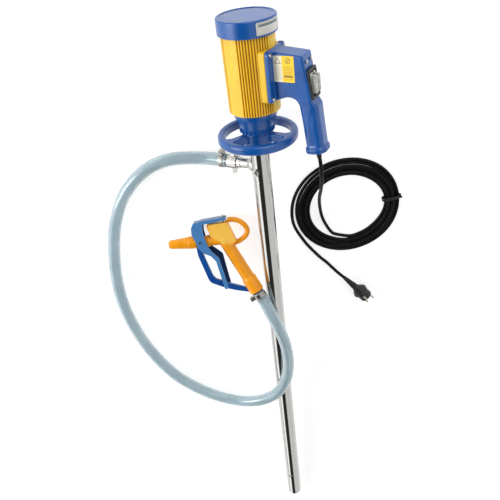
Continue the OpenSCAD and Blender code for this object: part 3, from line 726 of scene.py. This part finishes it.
def coil_route(per_turn=24):
    """Turns side by side, two of them riding in the hollows between their neighbours."""
    touching = LEAD_D - PRESSED
    route = []
    for i in range(1, round(COIL_TURNS * per_turn)):
        done = i / per_turn
        angle = COIL_START + 360 * done
        pitch = COIL_PITCH + 0.3 * hump(angle, COIL_START, 42) - 2 * hump(angle, TIE_ANGLE, 55)
        across = pitch * min(done, 4) + touching * max(done - 4, 0)
        middle = pitch * COIL_TURNS / 2
        lift = math.sqrt(max(0, touching ** 2 - pitch ** 2)) if int(done) in (1, 3) else 0
        loose = 6 * max(0.0, (done - LOOSE_FROM) / (COIL_TURNS - LOOSE_FROM)) ** 2
        oval = 2.5 * math.cos(math.radians(2 * (angle - 20)))
        r = COIL_R + across - middle + loose + oval
        route.append((COIL_AT[0] + r * math.cos(math.radians(angle)),
                      COIL_AT[1] + r * math.sin(math.radians(angle)), LEAD_D / 2 + lift))
    return route


def make_hose():
    start = DISCHARGE @ Vector((0, 0, HOSE_START))
    stop = NOZZLE_GRIP @ Vector((0, 0, HOSE_STOP))
    route = [start, *[FLOOR @ Vector(p) for p in HOSE_ROUTE], stop]
    line = smooth_line(route, 8)
    bm = tube_along(line, HOSE_D / 2 * MM, 32, caps=False)
    bmesh.ops.recalc_face_normals(bm, faces=bm.faces)
    hose = put("hose_clear", bm, Matrix.Identity(4), HOSE_PVC,
               ["hose", "hose_end_pump", "hose_end_nozzle"], weighted=False)
    name_uv(hose)
    thick = hose.modifiers.new("wall", "SOLIDIFY")
    thick.thickness = (HOSE_D - HOSE_BORE) / 2 * MM
    thick.offset = -1
    length_of(line)
    return line


def name_uv(piece):
    """The UV map that the tube was made with runs along it; it is called along."""
    if piece.data.uv_layers:
        piece.data.uv_layers[0].name = "along"
    else:
        piece.data.uv_layers.new(name="along")


def make_lead(on_it):
    floor_points = [*LEAD_ROUTE, *coil_route(), *TAIL_ROUTE]
    line = smooth_line([FLOOR @ Vector(p) for p in floor_points], 3)
    lead = cord_along("mains_lead_cord", line, LEAD_D / 2 * MM, 4)
    lead.data.materials.append(RUBBER)
    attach(lead, "pump")
    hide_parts("mains_lead", "lead_coil", "lead_to_plug")
    length_of(line)


# ---- mains plug and tie ----

PRONG_Y = (-9.5, 9.5)


def make_plug():
    neck = [(0, 0), (4.6, 0), (5, 0.6)]
    for i in range(9):
        z = 3 + 4.2 * i
        r = 5.1 + 0.42 * i
        neck += [(r, z), (r, z + 2.4), (r - 0.8, z + 2.8), (r - 0.8, z + 3.8)]
    body = rounded([(13, 50, 6), (17, 58, 2), (17, 70, 2), (16.4, 71, 0.5), (16.4, 86.5, 1.4),
                    (14.8, 87.5, 0.3)], 4)
    shell = turned([*neck, (9.4, 44), *body, (14.4, 86.2), (0, 86.2)], 64)
    wings = soften(prism(rectangle(22, 37, 6), 57.5, 67.5), 2.2, 4)
    holes = [placed(rod(2.5, 80, 90), move(0, y, 0)) for y in PRONG_Y]
    shell = cut(joined(shell, [wings]), holes)
    shell = put("plug_moulding", shell, PLUG, BLACK_PLASTIC, ["plug_body"])
    pin = [(0, 62), (2.4, 62), (2.4, 103.6), (2.1, 104.8), (1.3, 105.6), (0, 105.8)]
    both = gathered([placed(turned(pin, 24), move(0, y, 0)) for y in PRONG_Y])
    pins = put("plug_prongs", both, PLUG, BRASS, ["plug_pins"])
    clips = []
    for side in (1, -1):
        strap = rounded([(16.2, 71.5, 0.3), (17.1, 72, 0.4), (17.1, 85, 0.6), (16.2, 86.6, 0.3)])
        clips.append(placed(prism(strap, -2.2, 2.2), turn(90 - 90 * side, "Z") @ turn(90, "X")))
    earth = put("plug_earth_clips", gathered(clips), PLUG, BRASS)
    return [shell, pins, earth]


def make_tie():
    """Ribbed strap pulled round the turns, with its head on the outside and a short tail."""
    inner = rectangle(40.6, 15.4, 6.4)
    outer = rectangle(43, 17.4, 7.4)
    strap = cut(prism(outer, -4, 4), [prism(inner, -5, 5)])
    ribs = [prism(rectangle(0.7, 0.5, 0.1, x, 8.8), -3.2, 3.2) for x in range(-13, 14, 2)]
    head = placed(soften(prism(rectangle(5.4, 8.5, 1.5), -5, 5), 0.7), move(22, 0.4, 0))
    tongue = rounded([(0, -0.6, 0), (7, 0.3, 0.4), (7, 1.5, 0.4), (0, 0.6, 0)])
    tail = placed(soften(prism(tongue, -2.6, 2.6), 0.3), move(22, 4, 0) @ turn(58, "Z"))
    at = FLOOR @ move(*COIL_AT, 8.8) @ turn(TIE_ANGLE, "Z") @ move(COIL_R, 0, 0) @ turn(90, "X")
    whole = gathered([soften(strap, 0.4, 2), *ribs, head, tail])
    return put("lead_tie", whole, at, BLACK_PLASTIC, ["coil_tie"])


# ---- motor ----

CAP_SCREW_R = 47


def make_cap():
    edge = rounded([(CAP_R - 7, CAP_TOP - 0.8, 0.6), (CAP_R - 6, CAP_TOP, 0.8), (CAP_R, CAP_TOP, 3.6),
                    (CAP_R, CAP_Z, 1), (CAP_R - 4, CAP_Z, 0.6), (CAP_R - 4.4, CAP_TOP - 6, 3)], 6)
    shell = turned([(0, CAP_TOP - 0.8), *edge, (0, CAP_TOP - 6)], 160)
    wells = [placed(rod(4.7, CAP_TOP - 5, CAP_TOP + 4), turn(a, "Z") @ move(CAP_SCREW_R, 0, 0))
             for a in (0, 90, 180, 270)]
    cap = cut(shell, wells)
    put("motor_cap", cap, PUMP, BLUE, ["top_cap"])


def make_cap_sticker():
    """Foil sticker bent round the cap."""
    plate = prism(rectangle(60, 23, 2.6, 0, FOIL_Z), 0.02, 0.42)
    for i in range(-14, 15):
        every = [*plate.verts, *plate.edges, *plate.faces]
        bmesh.ops.bisect_plane(plate, geom=every, plane_co=(2 * i, 0, 0), plane_no=(1, 0, 0), dist=1e-4)
    for v in plate.verts:
        angle = math.radians(FOIL_TURN) + v.co.x / CAP_R
        reach = CAP_R + v.co.z
        v.co = (reach * math.cos(angle), reach * math.sin(angle), v.co.y)
    put("cap_sticker", tidy(plate), PUMP, FOIL, ["name_plate"])


MOTOR_R, MOTOR_Z, MOTOR_LEN, BORE_R = 53, 1330, 153, 43
FIN_PITCH, FIN_DEEP, GROOVE = 6, 3.5, 2.6
SMOOTH_STRIP = (88, 126)
PAD_HALF = 18
PLATE = (76, 100)
PLATE_X, PLATE_T, PLATE_Z = 49, 9, 1406


def finned_outline():
    """Round body with cooling grooves, smooth strips at the sides and under the handle's pad."""
    half = math.degrees(GROOVE / 2 / MOTOR_R)
    points = []
    for i in range(round(360 / FIN_PITCH)):
        middle = FIN_PITCH * (i + 0.5)
        side = abs(middle - 360) if middle > 180 else middle
        if PAD_HALF <= side <= SMOOTH_STRIP[0] or side >= SMOOTH_STRIP[1]:
            steps = [(-half - 0.9, 0), (-half - 0.25, 0.3), (-half, 1), (-half, FIN_DEEP - 0.5),
                     (-half * 0.6, FIN_DEEP), (half * 0.6, FIN_DEEP), (half, FIN_DEEP - 0.5),
                     (half, 1), (half + 0.25, 0.3), (half + 0.9, 0)]
        elif side < PAD_HALF:
            steps = [(-1.5, 0), (1.5, 0)]
        else:
            steps = [(0, 0.35)] if abs(side - 107) < 4 else [(0, 0.8)]
        for offset, deep in steps:
            angle = math.radians(middle + offset)
            points.append(((MOTOR_R - deep) * math.cos(angle), (MOTOR_R - deep) * math.sin(angle)))
    return points


def make_housing():
    fins = prism(finned_outline(), MOTOR_Z, MOTOR_Z + MOTOR_LEN)
    pad = placed(soften(prism(rectangle(*PLATE, 5, 0, PLATE_Z), 30, PLATE_X), 1.2, 3), FACING_X)
    body = joined(fins, [pad])
    hollow = rod(BORE_R, MOTOR_Z + 4, MOTOR_Z + MOTOR_LEN + 5, 96)
    collar = rod(20, MOTOR_Z - 5, MOTOR_Z + 10, 48)
    body = cut(body, [hollow, collar])
    put("finned_housing", body, PUMP, YELLOW, ["motor_housing"])


def make_flange():
    """Bell under the motor, with a ring of lugs above the handwheel."""
    bell = rounded([(25.6, 1265, 0.6), (25.6, 1283, 0.5), (34.6, 1283, 1), (35.2, 1293, 2),
                    (38.6, 1302, 12), (44.6, 1318, 8), (46, 1324, 2), (46, 1329.9, 0.6),
                    (15, 1329.9, 0.3), (15, 1265, 0.3)], 5)
    body = turned(bell, 120, closed=True)
    lugs = []
    for i in range(24):
        lug = soften(prism(rectangle(4.2, 4.8, 0.9, 35.1, 0), 1283.6, 1292.4), 0.5, 2)
        lugs.append(placed(lug, turn(15 * i, "Z")))
    whole = joined(body, [gathered(lugs)])
    put("motor_bell", whole, PUMP, BLUE, ["motor_flange"])


# ---- handle ----

HANDLE_HALF = 22


def rolled(outline, half_width, narrowed):
    """Solid of an outline (x, z, corner radius, edge roll) whose two side edges are rolled over.

    narrowed(z) is the share of the width that is left at that height."""
    flat = rounded([c[:3] for c in outline], 7)
    rolls = []
    for p in flat:
        near = sorted(outline, key=lambda c: (Vector(c[:2]) - p).length)[:2]
        gaps = [max(0.5, (Vector(c[:2]) - p).length) for c in near]
        rolls.append((near[0][3] * gaps[1] + near[1][3] * gaps[0]) / sum(gaps))
    count = len(flat)
    inward = []
    for i, p in enumerate(flat):
        tangent = (flat[(i + 1) % count] - flat[i - 1]).normalized()
        inward.append(Vector((tangent.y, -tangent.x)))
    rings = []
    for side in (-1, 1):
        angles = range(0, 91, 15) if side < 0 else range(90, -1, -15)
        for angle in angles:
            s, c = math.sin(math.radians(angle)), math.cos(math.radians(angle))
            ring = []
            for p, r, n in zip(flat, rolls, inward):
                q = p + n * r * (1 - s)
                ring.append((q.x, side * (half_width - r * (1 - c)), q.y))
            rings.append(ring)
    bm = lofted(rings)
    for v in bm.verts:
        v.co.y *= narrowed(v.co.z)
    return tidy(bm)


def grip_share(z):
    """The block is full width; the grip under it is a little slimmer."""
    down = min(1.0, max(0.0, (1370 - z) / 32))
    return 1 - 0.1 * down * down * (3 - 2 * down)


def make_handle():
    casting = [(56, 1453, 0, 2), (119, 1447, 4, 3), (131.6, 1366, 3, 3), (133.6, 1358, 4, 6),
               (142.4, 1351, 5, 12), (147.5, 1305, 0, 13), (152.6, 1257, 0, 13), (114.6, 1253, 0, 13),
               (109.4, 1303, 0, 13), (104.2, 1348, 14, 11), (99, 1362, 16, 7), (84, 1366, 20, 4),
               (56, 1357, 0, 2)]
    body = rolled(casting, HANDLE_HALF, grip_share)
    foot = skirt()
    plate = placed(prism(rectangle(*PLATE, 7, 0, PLATE_Z), PLATE_X, PLATE_X + PLATE_T), FACING_X)
    lug = placed(rod(7, PLATE_X, PLATE_X + PLATE_T + 1.5, 32), move(0, 30, 1451) @ turn(90, "Y"))
    whole = moulded(gathered([body, foot, plate, lug]), 1.05, 7)
    holes = [placed(rod(2.6, PLATE_X - 1, PLATE_X + 20), move(0, y, z) @ turn(90, "Y"))
             for y in (-31, 31) for z in (1364, 1449)]
    well = placed(prism(rectangle(48, 32, 3), -31, 10), in_pump(SWITCH))
    tunnel = placed(prism(rectangle(24, 26, 8), -6, 92), in_pump(GRIP))
    whole = cut(whole, [*holes, well, tunnel])
    put("pistol_handle", whole, PUMP, BLUE, ["handle"], weighted=False)


def skirt():
    """Flared foot of the grip."""
    levels = ((0, 44, 49, 18), (1, 45, 50, 18), (4.4, 45, 50, 18), (5.6, 43.5, 48, 17),
              (8, 40, 43, 16), (14, 37, 39, 14), (24, 34, 36, 13))
    rings = [[(*p, z) for p in rectangle(wide, deep, radius)] for z, wide, deep, radius in levels]
    return placed(tidy(lofted(rings)), in_pump(GRIP))


def make_end_cap():
    cap = soften(prism(rectangle(45, 50, 18), -4, -0.1), 1.2, 3)
    cap = cut(cap, [rod(5.3, -6, 2)])
    put("grip_cap", cap, GRIP, BLUE, ["grip_end_cap"])


def make_gland():
    """Tapered strain relief with rings, under a small hexagon nut."""
    side = [(2, 0), (5, 0), (5, -5.2), (6.2, -5.4)]
    for i in range(5):
        z = -8 - 2.9 * i
        r = 6.2 - 0.32 * i
        side += [(r, z), (r, z - 1.5), (r - 0.9, z - 1.8), (r - 0.9, z - 2.6)]
    sleeve = turned([*side, (4.5, -22), (2, -22)], 32, closed=True)
    nut = soften(turned([(4, -8.2), (7.4, -8.2), (7.4, -4.2), (4, -4.2)], 6, closed=True), 0.4, 2)
    put("lead_gland", gathered([sleeve, nut]), GRIP, BLACK_PLASTIC, ["cable_gland"])


def make_bezel():
    window = prism(rectangle(46.5, 30.5, 3), -1, 8)
    rim = cut(prism(rectangle(58, 38, 3.5), 0.1, 5.1), [window])
    put("bezel_frame", soften(rim, 0.9, 3), SWITCH, BLACK_PLASTIC, ["switch_bezel"])


def make_boot():
    """Soft switch cover: two long rounded lobes over the keys, on a thin apron."""
    apron = soften(prism(rectangle(42, 27, 4), 0, 4), 1.2, 3)
    half = [(0, -18.5), (2.8, -18.3), (5, -16.8), (5.8, -13.5)]
    profile = half + [(r, -x) for r, x in reversed(half)]
    lobes = [placed(turned(profile, 32), move(0, y, 7.4) @ Matrix.Diagonal((1, 1, 1.3, 1)) @ turn(90, "Y"))
             for y in (-6.9, 6.9)]
    whole = moulded(gathered([apron, *lobes]), 0.5, 3)
    put("switch_boot", whole, SWITCH @ move(0, 0, -1) @ turn(6, "Y"), BOOT, ["rocker_boot"],
        "rocker", weighted=False)


def make_handle_sticker():
    x0, x1 = STICKER_X
    z0, z1 = STICKER_Z
    sheet = prism(rectangle(x1 - x0, z1 - z0, 1.4, (x0 + x1) / 2, (z0 + z1) / 2), 0.0, 0.35)
    put("handle_sticker", sheet, PUMP @ move(0, -HANDLE_HALF, 0) @ turn(90, "X"), STICKER,
        ["warning_label"])


# ---- handwheel ----

def make_handwheel():
    section = rounded([(70, 1261, 4), (85, 1261, 6.5), (85, 1281, 7), (70, 1281, 5)], 7)
    rim = turned(section, 160, closed=True)
    section = rounded([(26, 1257, 0.5), (22.8, 1257, 0.4), (22.8, 1253, 0.4), (30, 1253, 2),
                       (30.6, 1282, 2), (26, 1282, 0.8)], 4)
    hub = turned(section, 96, closed=True)
    half = [(27, 12, 0), (34, 8.2, 8), (60, 8, 14), (72, 16, 0)]
    spoke = rounded([*half, *[(x, -y, r) for x, y, r in reversed(half)]], 7)
    spokes = [placed(prism(spoke, 1261.5, 1278.5), turn(118 + 120 * i, "Z")) for i in range(3)]
    wheel = moulded(gathered([rim, hub, *spokes]), 0.9, 7)
    put("union_handwheel", wheel, PUMP, BLUE, ["handwheel"], "handwheel", weighted=False)


# ---- discharge ----

HEAD_R = 20.8


def make_branch():
    pipe = rounded([(8.5, 8, 0), (15.5, 8, 0), (15, 21, 3), (11.2, 30, 8), (11, 46, 0.4), (12.4, 47, 0.5),
                    (12.4, 66, 0.6), (8.5, 66, 0.4)], 5)
    tube = rod(HEAD_R - 0.05, 1120, 1260, 96)
    solid = placed(turned(pipe, 64, closed=True), in_pump(DISCHARGE))
    put("discharge_tee", cut(solid, [tube]), PUMP, FITTING_STEEL,
        ["discharge_branch"])


def make_weld():
    """Bead of small overlapping puddles where the branch meets the tube."""
    puddles = []
    count = 44
    for i in range(count):
        a = 2 * math.pi * i / count
        y, z = 15.2 * math.cos(a), 15.2 * math.sin(a)
        x = -math.sqrt(HEAD_R ** 2 - y ** 2)
        puddle = bmesh.new()
        bmesh.ops.create_icosphere(puddle, subdivisions=2, radius=1.35)
        puddles.append(placed(puddle, move(x, y, DISCHARGE_Z + z)))
    put("branch_weld", moulded(gathered(puddles), 0.35, 2), PUMP, CLAMP_STEEL, (),
        weighted=False)


CLAMP_W, CLAMP_T, SCREW_OFF = 10, 1.2, 21


def clamp_parts():
    """Band with worm slots, and the pressed housing over its screw on +x."""
    r = HOSE_D / 2
    ring = rounded([(r + 0.05, 0, 0.2), (r + CLAMP_T, 0, 0.5), (r + CLAMP_T, CLAMP_W, 0.5),
                    (r + 0.05, CLAMP_W, 0.2)], 3)
    band = turned(ring, 96, closed=True)
    slots = []
    for angle in range(60, 301, 10):
        slot = prism(rectangle(1.3, 6.4, 0.4), r + 0.7, r + 2)
        at = turn(angle, "Z") @ move(0, 0, CLAMP_W / 2) @ turn(90, "Y") @ turn(82, "Z")
        slots.append(placed(slot, at))
    band = cut(band, [gathered(slots)])
    shell = [(r - 1, -8, 0.4), (SCREW_OFF + 1, -8, 1.5), (SCREW_OFF + 4.4, -6, 1.5),
             (SCREW_OFF + 4.4, 6, 1.5), (SCREW_OFF + 1, 8, 1.5), (r - 1, 8, 0.4)]
    saddle = soften(prism(rounded(shell, 4), 0.3, CLAMP_W - 0.3), 1.2, 3)
    worm = placed(rod(3.6, -9, 9, 32), move(SCREW_OFF, 0, CLAMP_W / 2) @ turn(90, "X"))
    inside = rod(r + 0.2, -2, CLAMP_W + 2, 96)
    saddle = cut(saddle, [worm, inside])
    lips = [soften(prism(rectangle(4.6, 1.2, 0.4, SCREW_OFF + 1.2, y), 0, CLAMP_W), 0.3, 2)
            for y in (-8.2, 8.2)]
    return gathered([band, saddle, *lips])


def make_clamps():
    first = DISCHARGE @ move(0, 0, 95 - CLAMP_W / 2)
    put("clamp_at_pump", clamp_parts(), first, CLAMP_STEEL, ["hose_clamp_pump"])
    second = NOZZLE_GRIP @ move(0, 0, 167 - CLAMP_W / 2) @ turn(90, "Z") @ Matrix.Scale(-1, 4, (1, 0, 0))
    put("clamp_at_nozzle", clamp_parts(), second, CLAMP_STEEL, ["hose_clamp_nozzle"])


# ---- nozzle ----

BLOCK = [(-38, 38, 4), (14, 40, 3), (32, -8, 5), (14, -24, 8), (-5, -10, 4), (-30, 8, 5)]


def make_nozzle_body():
    block = soften(prism(rounded(BLOCK, 5), -13.5, 13.5), 1.6, 3)
    forward = move(3, -3, 0) @ turn(-90, "Y")
    neck = placed(rod(12.5, 0, 44, 48), forward)
    collar = placed(rod(14.2, 36, 43, 48), forward)
    grip = turned([(0, -6), (13.5, -6), (15.2, 2), (15.2, 30), (15.6, 108), (15.8, 112), (18, 118), (18, 154),
                   (17.4, 155), (0, 155)], 64)
    sleeve = prism([(18.4 * math.cos(a), 18.4 * math.sin(a)) for a in
                    [math.radians(22.5 + 45 * i) for i in range(8)]], 119, 152)
    solids = [block, neck, collar, placed(gathered([grip, sleeve]), GRIP_IN_NOZZLE)]
    body = moulded(gathered(solids), 0.85, 6)
    bore = placed(rod(8, 12, 160), GRIP_IN_NOZZLE)
    front = placed(rod(8, -2, 60), forward)
    stem_hole = placed(rod(3.2, 15, 60), move(3, 0, 0) @ turn(-90, "X"))
    body = cut(body, [bore, front, stem_hole])
    put("nozzle_casting", body, NOZZLE, AMBER, ["nozzle_body"], weighted=False)


def make_spout():
    side = rounded([(5.5, 40.05, 0.3), (12, 40.05, 0.4), (12, 65, 1.2), (15, 66.5, 1), (15.2, 84, 1),
                    (14.2, 86, 0.8), (14.6, 88, 1), (13.4, 96, 4), (11, 124, 6), (10, 131, 3),
                    (7.6, 133.5, 1.4), (5.5, 133.4, 0.6)], 4)
    put("nozzle_spout", turned(side, 72, closed=True), NOZZLE @ SPOUT_WAY, AMBER, ["spout"])


def make_hanging_loop():
    bow = [(9, 42), (18, 43.6), (28, 43), (38, 40), (47, 34.5), (54, 27), (58.5, 19), (59.4, 12),
           (57, 5), (52, -1.5), (45, -6.5), (37, -10.5), (28, -13.5), (20, -15)]
    bar = tube_along(smooth_line([(*p, 0) for p in bow], 4), 6.3, 20)
    block = prism(rounded(BLOCK, 5), -13.2, 13.2)
    slot_room = prism(rectangle(12.4, 30, 1, 8.8, 58.6), -10, 10)
    bar = cut(bar, [block, slot_room])
    put("nozzle_loop", bar, NOZZLE, AMBER, ["hanging_loop"])


def make_guard():
    bar = [(-67.6, -17, 1), (-66, -37, 6), (-47.5, -99, 6), (-42, -107.5, 6), (-8, -124, 8), (20, -133, 4),
           (56, -141.6, 3), (56, -129, 3), (40, -126.4, 4), (4, -113, 8), (-29, -98, 8), (-35.5, -90, 8),
           (-53.4, -32, 6), (-53.4, -17, 1)]
    solid = moulded(prism(rounded(bar, 5), -6, 6), 0.7, 12)
    grip = placed(rod(18.15, 60, 200, 64), GRIP_IN_NOZZLE)
    spout = placed(rod(15.35, 60, 100, 64), SPOUT_WAY)
    neck = placed(rod(12.15, 20, 70, 64), SPOUT_WAY)
    solid = cut(solid, [grip, spout, neck])
    put("finger_guard", solid, NOZZLE, NOZZLE_BLUE, ["trigger_guard"], weighted=False)


LEVER_HALF, LEVER_T = 18.6, 3.2


def make_lever():
    side = [(-67, 46, 3), (-73.4, 34, 8), (-74, 18, 8), (-68, 4, 8), (-61, -18, 6), (-50, -30, 8),
            (-34, -38, 8), (-23, -52, 6), (-9, -124, 2), (5, -120, 2), (4, -110, 2), (-7, -40, 8),
            (-22, -26, 8), (-38, -14, 10), (-43, 4, 8), (-46, 22, 8), (-45, 46, 2)]
    near = [*side[:8], (-9, -124, 2), (0, -122, 2), (-2, -110, 2), (-15, -44, 8), (-29, -29, 8), *side[13:]]
    top = rounded([(-67, 45, 2), (-70.5, 38.6, 2), (-48, 40, 1), (12, 46, 1), (12, 52.6, 2),
                   (-46, 49.4, 4)], 4)
    web = rounded([(-34, -38, 1), (-23, -52, 4), (-14.5, -98, 0), (-10.5, -97, 0), (-19, -50, 4),
                   (-29, -36, 1)], 4)
    parts = [prism(rounded(side, 5), -LEVER_HALF, LEVER_T - LEVER_HALF),
             prism(rounded(near, 5), LEVER_HALF - LEVER_T, LEVER_HALF),
             prism(top, -LEVER_HALF, LEVER_HALF), prism(web, -LEVER_HALF, LEVER_HALF)]
    whole = moulded(gathered(parts), 0.55, 5)
    fork = prism(rectangle(30, 30, 1, 14.6, 50), -3.4, 3.4)
    pin = placed(rod(3.1, -30, 30), move(*LEVER_PIN, 0))
    whole = cut(whole, [fork, pin])
    put("trigger", whole, NOZZLE, NOZZLE_BLUE, ["trigger_lever"], "lever", weighted=False)


# ---- what stays as packed ----

KEPT = (
    (TUBE_STEEL, ("pump_tube", "foot_sleeve", "inner_tube", "pump_shaft")),
    (FITTING_STEEL, ("suction_strainer", "guide_vanes", "shaft_driver", "hose_tail", "motor_shaft",
                     "motor_bearings")),
    (PTFE, ("shaft_bushes", "impeller")),
    (CARBON, ("shaft_seal", "carbon_brushes")),
    (LAMINATED, ("stator", "armature")),
    (COPPER, ("field_windings", "commutator")),
    (BLACK_PLASTIC, ("brush_ring", "cooling_fan", "switch_block", "nozzle_tail")),
)
EASED = {
    "tube_collar": (FITTING_STEEL, "pump", "stainless_polished"),
    "bonding_screw": (SCREW_STEEL, "pump", "stainless_plain"),
    "union_nut": (FITTING_STEEL, "union_nut", "stainless_plain"),
    "clamp_screw_pump": (SCREW_STEEL, "clamp_screw_pump", "screw_steel"),
    "clamp_screw_nozzle": (SCREW_STEEL, "clamp_screw_nozzle", "screw_steel"),
    "cap_screws": (SCREW_STEEL, "pump", "screw_steel"),
    "handle_screws": (SCREW_STEEL, "pump", "screw_steel"),
    "switch_screws": (SCREW_STEEL, "pump", "screw_steel"),
    "lever_pin": (SCREW_STEEL, "pump", "screw_steel"),
    "valve_stem": (FITTING_STEEL, "valve", "stainless_plain"),
}


def finish_packed_nodes():
    for finish, nodes in KEPT:
        for node in nodes:
            mesh = frame["nodes"][node].data
            mesh.materials.clear()
            mesh.materials.append(finish)
            mesh.shade_smooth()
    for node, (finish, body, slot) in EASED.items():
        eased(node, finish, body)


# ---- studio ----

WALL_LIGHT = 0.9
DARK_STRIP = 0.04
WALLS = ((-88, 0.3), (-84, 1.9), (-57, 1.9), (-50, DARK_STRIP),
         (3, DARK_STRIP), (9, 1.08), (96, 1.02), (104, 0.3))


def make_camera():
    eye = Vector((0.0474, 0.97537, 1.27638))
    right = Vector((0.9941, -0.1052, 0.0268)).normalized()
    up = Vector((0.1033, 0.8410, -0.5309))
    back = right.cross(up).normalized()
    up = back.cross(right)
    lens = bpy.data.cameras.new("camera")
    lens.lens = 42.98
    lens.sensor_width = 36
    camera = linked("camera", lens)
    camera.matrix_world = Matrix.Translation(eye) @ Matrix((right, up, back)).transposed().to_4x4()
    bpy.context.scene.camera = camera


def make_floor():
    bm = bmesh.new()
    bmesh.ops.create_grid(bm, x_segments=1, y_segments=1, size=6)
    floor = in_scene("floor", bm)
    pale = Finish("floor_finish", (0.5, 0.5, 0.5, 1), roughness=0.9, specular_ior_level=0.05,
                  emission_color=(1, 1, 1, 1), emission_strength=0.68)
    floor.data.materials.append(pale.material)


def soft_box(name, at, aim, wide, high, watts):
    lamp = bpy.data.lights.new(name, "AREA")
    lamp.shape = "RECTANGLE"
    lamp.size = wide
    lamp.size_y = high
    lamp.energy = watts
    made = linked(name, lamp)
    made.location = at
    made.rotation_mode = "QUATERNION"
    made.rotation_quaternion = (Vector(aim) - Vector(at)).to_track_quat("-Z", "Y")


def make_light():
    """White wall on the left, pale wall on the right and a dark strip overhead, which the steel shows."""
    world = bpy.data.worlds.new("studio")
    world.use_nodes = True
    room = world.node_tree
    way = room.nodes.new("ShaderNodeSeparateXYZ")
    room.links.new(room.nodes.new("ShaderNodeTexCoord").outputs["Generated"], way.inputs[0])
    lean = room.nodes.new("ShaderNodeMath")
    lean.operation = "ARCTAN2"
    room.links.new(way.outputs["X"], lean.inputs[0])
    room.links.new(way.outputs["Z"], lean.inputs[1])
    round_it = room.nodes.new("ShaderNodeMapRange")
    round_it.inputs["From Min"].default_value = -math.pi
    round_it.inputs["From Max"].default_value = math.pi
    room.links.new(lean.outputs[0], round_it.inputs["Value"])
    walls = room.nodes.new("ShaderNodeValToRGB")
    for i, (degrees, grey) in enumerate(WALLS):
        place = degrees / 360 + 0.5
        stop = walls.color_ramp.elements[i] if i < 2 else walls.color_ramp.elements.new(place)
        stop.position = place
        stop.color = (grey, grey, grey, 1)
    room.links.new(round_it.outputs[0], walls.inputs[0])
    room.links.new(walls.outputs[0], room.nodes["Background"].inputs["Color"])
    room.nodes["Background"].inputs["Strength"].default_value = WALL_LIGHT
    bpy.context.scene.world = world
    soft_box("key", (-2.4, 0.7, 1.3), (0, 0.2, 0), 1.2, 1.8, 46)
    soft_box("top", (0.5, 2.1, 1.5), (0, 0.4, 0), 1.6, 0.8, 12)


bpy.context.scene.view_settings.view_transform = "Standard"
make_camera()
make_floor()
make_light()
make_hose()
make_lead([*make_plug(), make_tie()])
make_cap()
make_cap_sticker()
make_housing()
make_flange()
make_handle()
make_end_cap()
make_gland()
make_bezel()
make_boot()
make_handle_sticker()
make_handwheel()
make_branch()
make_weld()
make_clamps()
make_nozzle_body()
make_spout()
make_hanging_loop()
make_guard()
make_lever()
finish_packed_nodes()
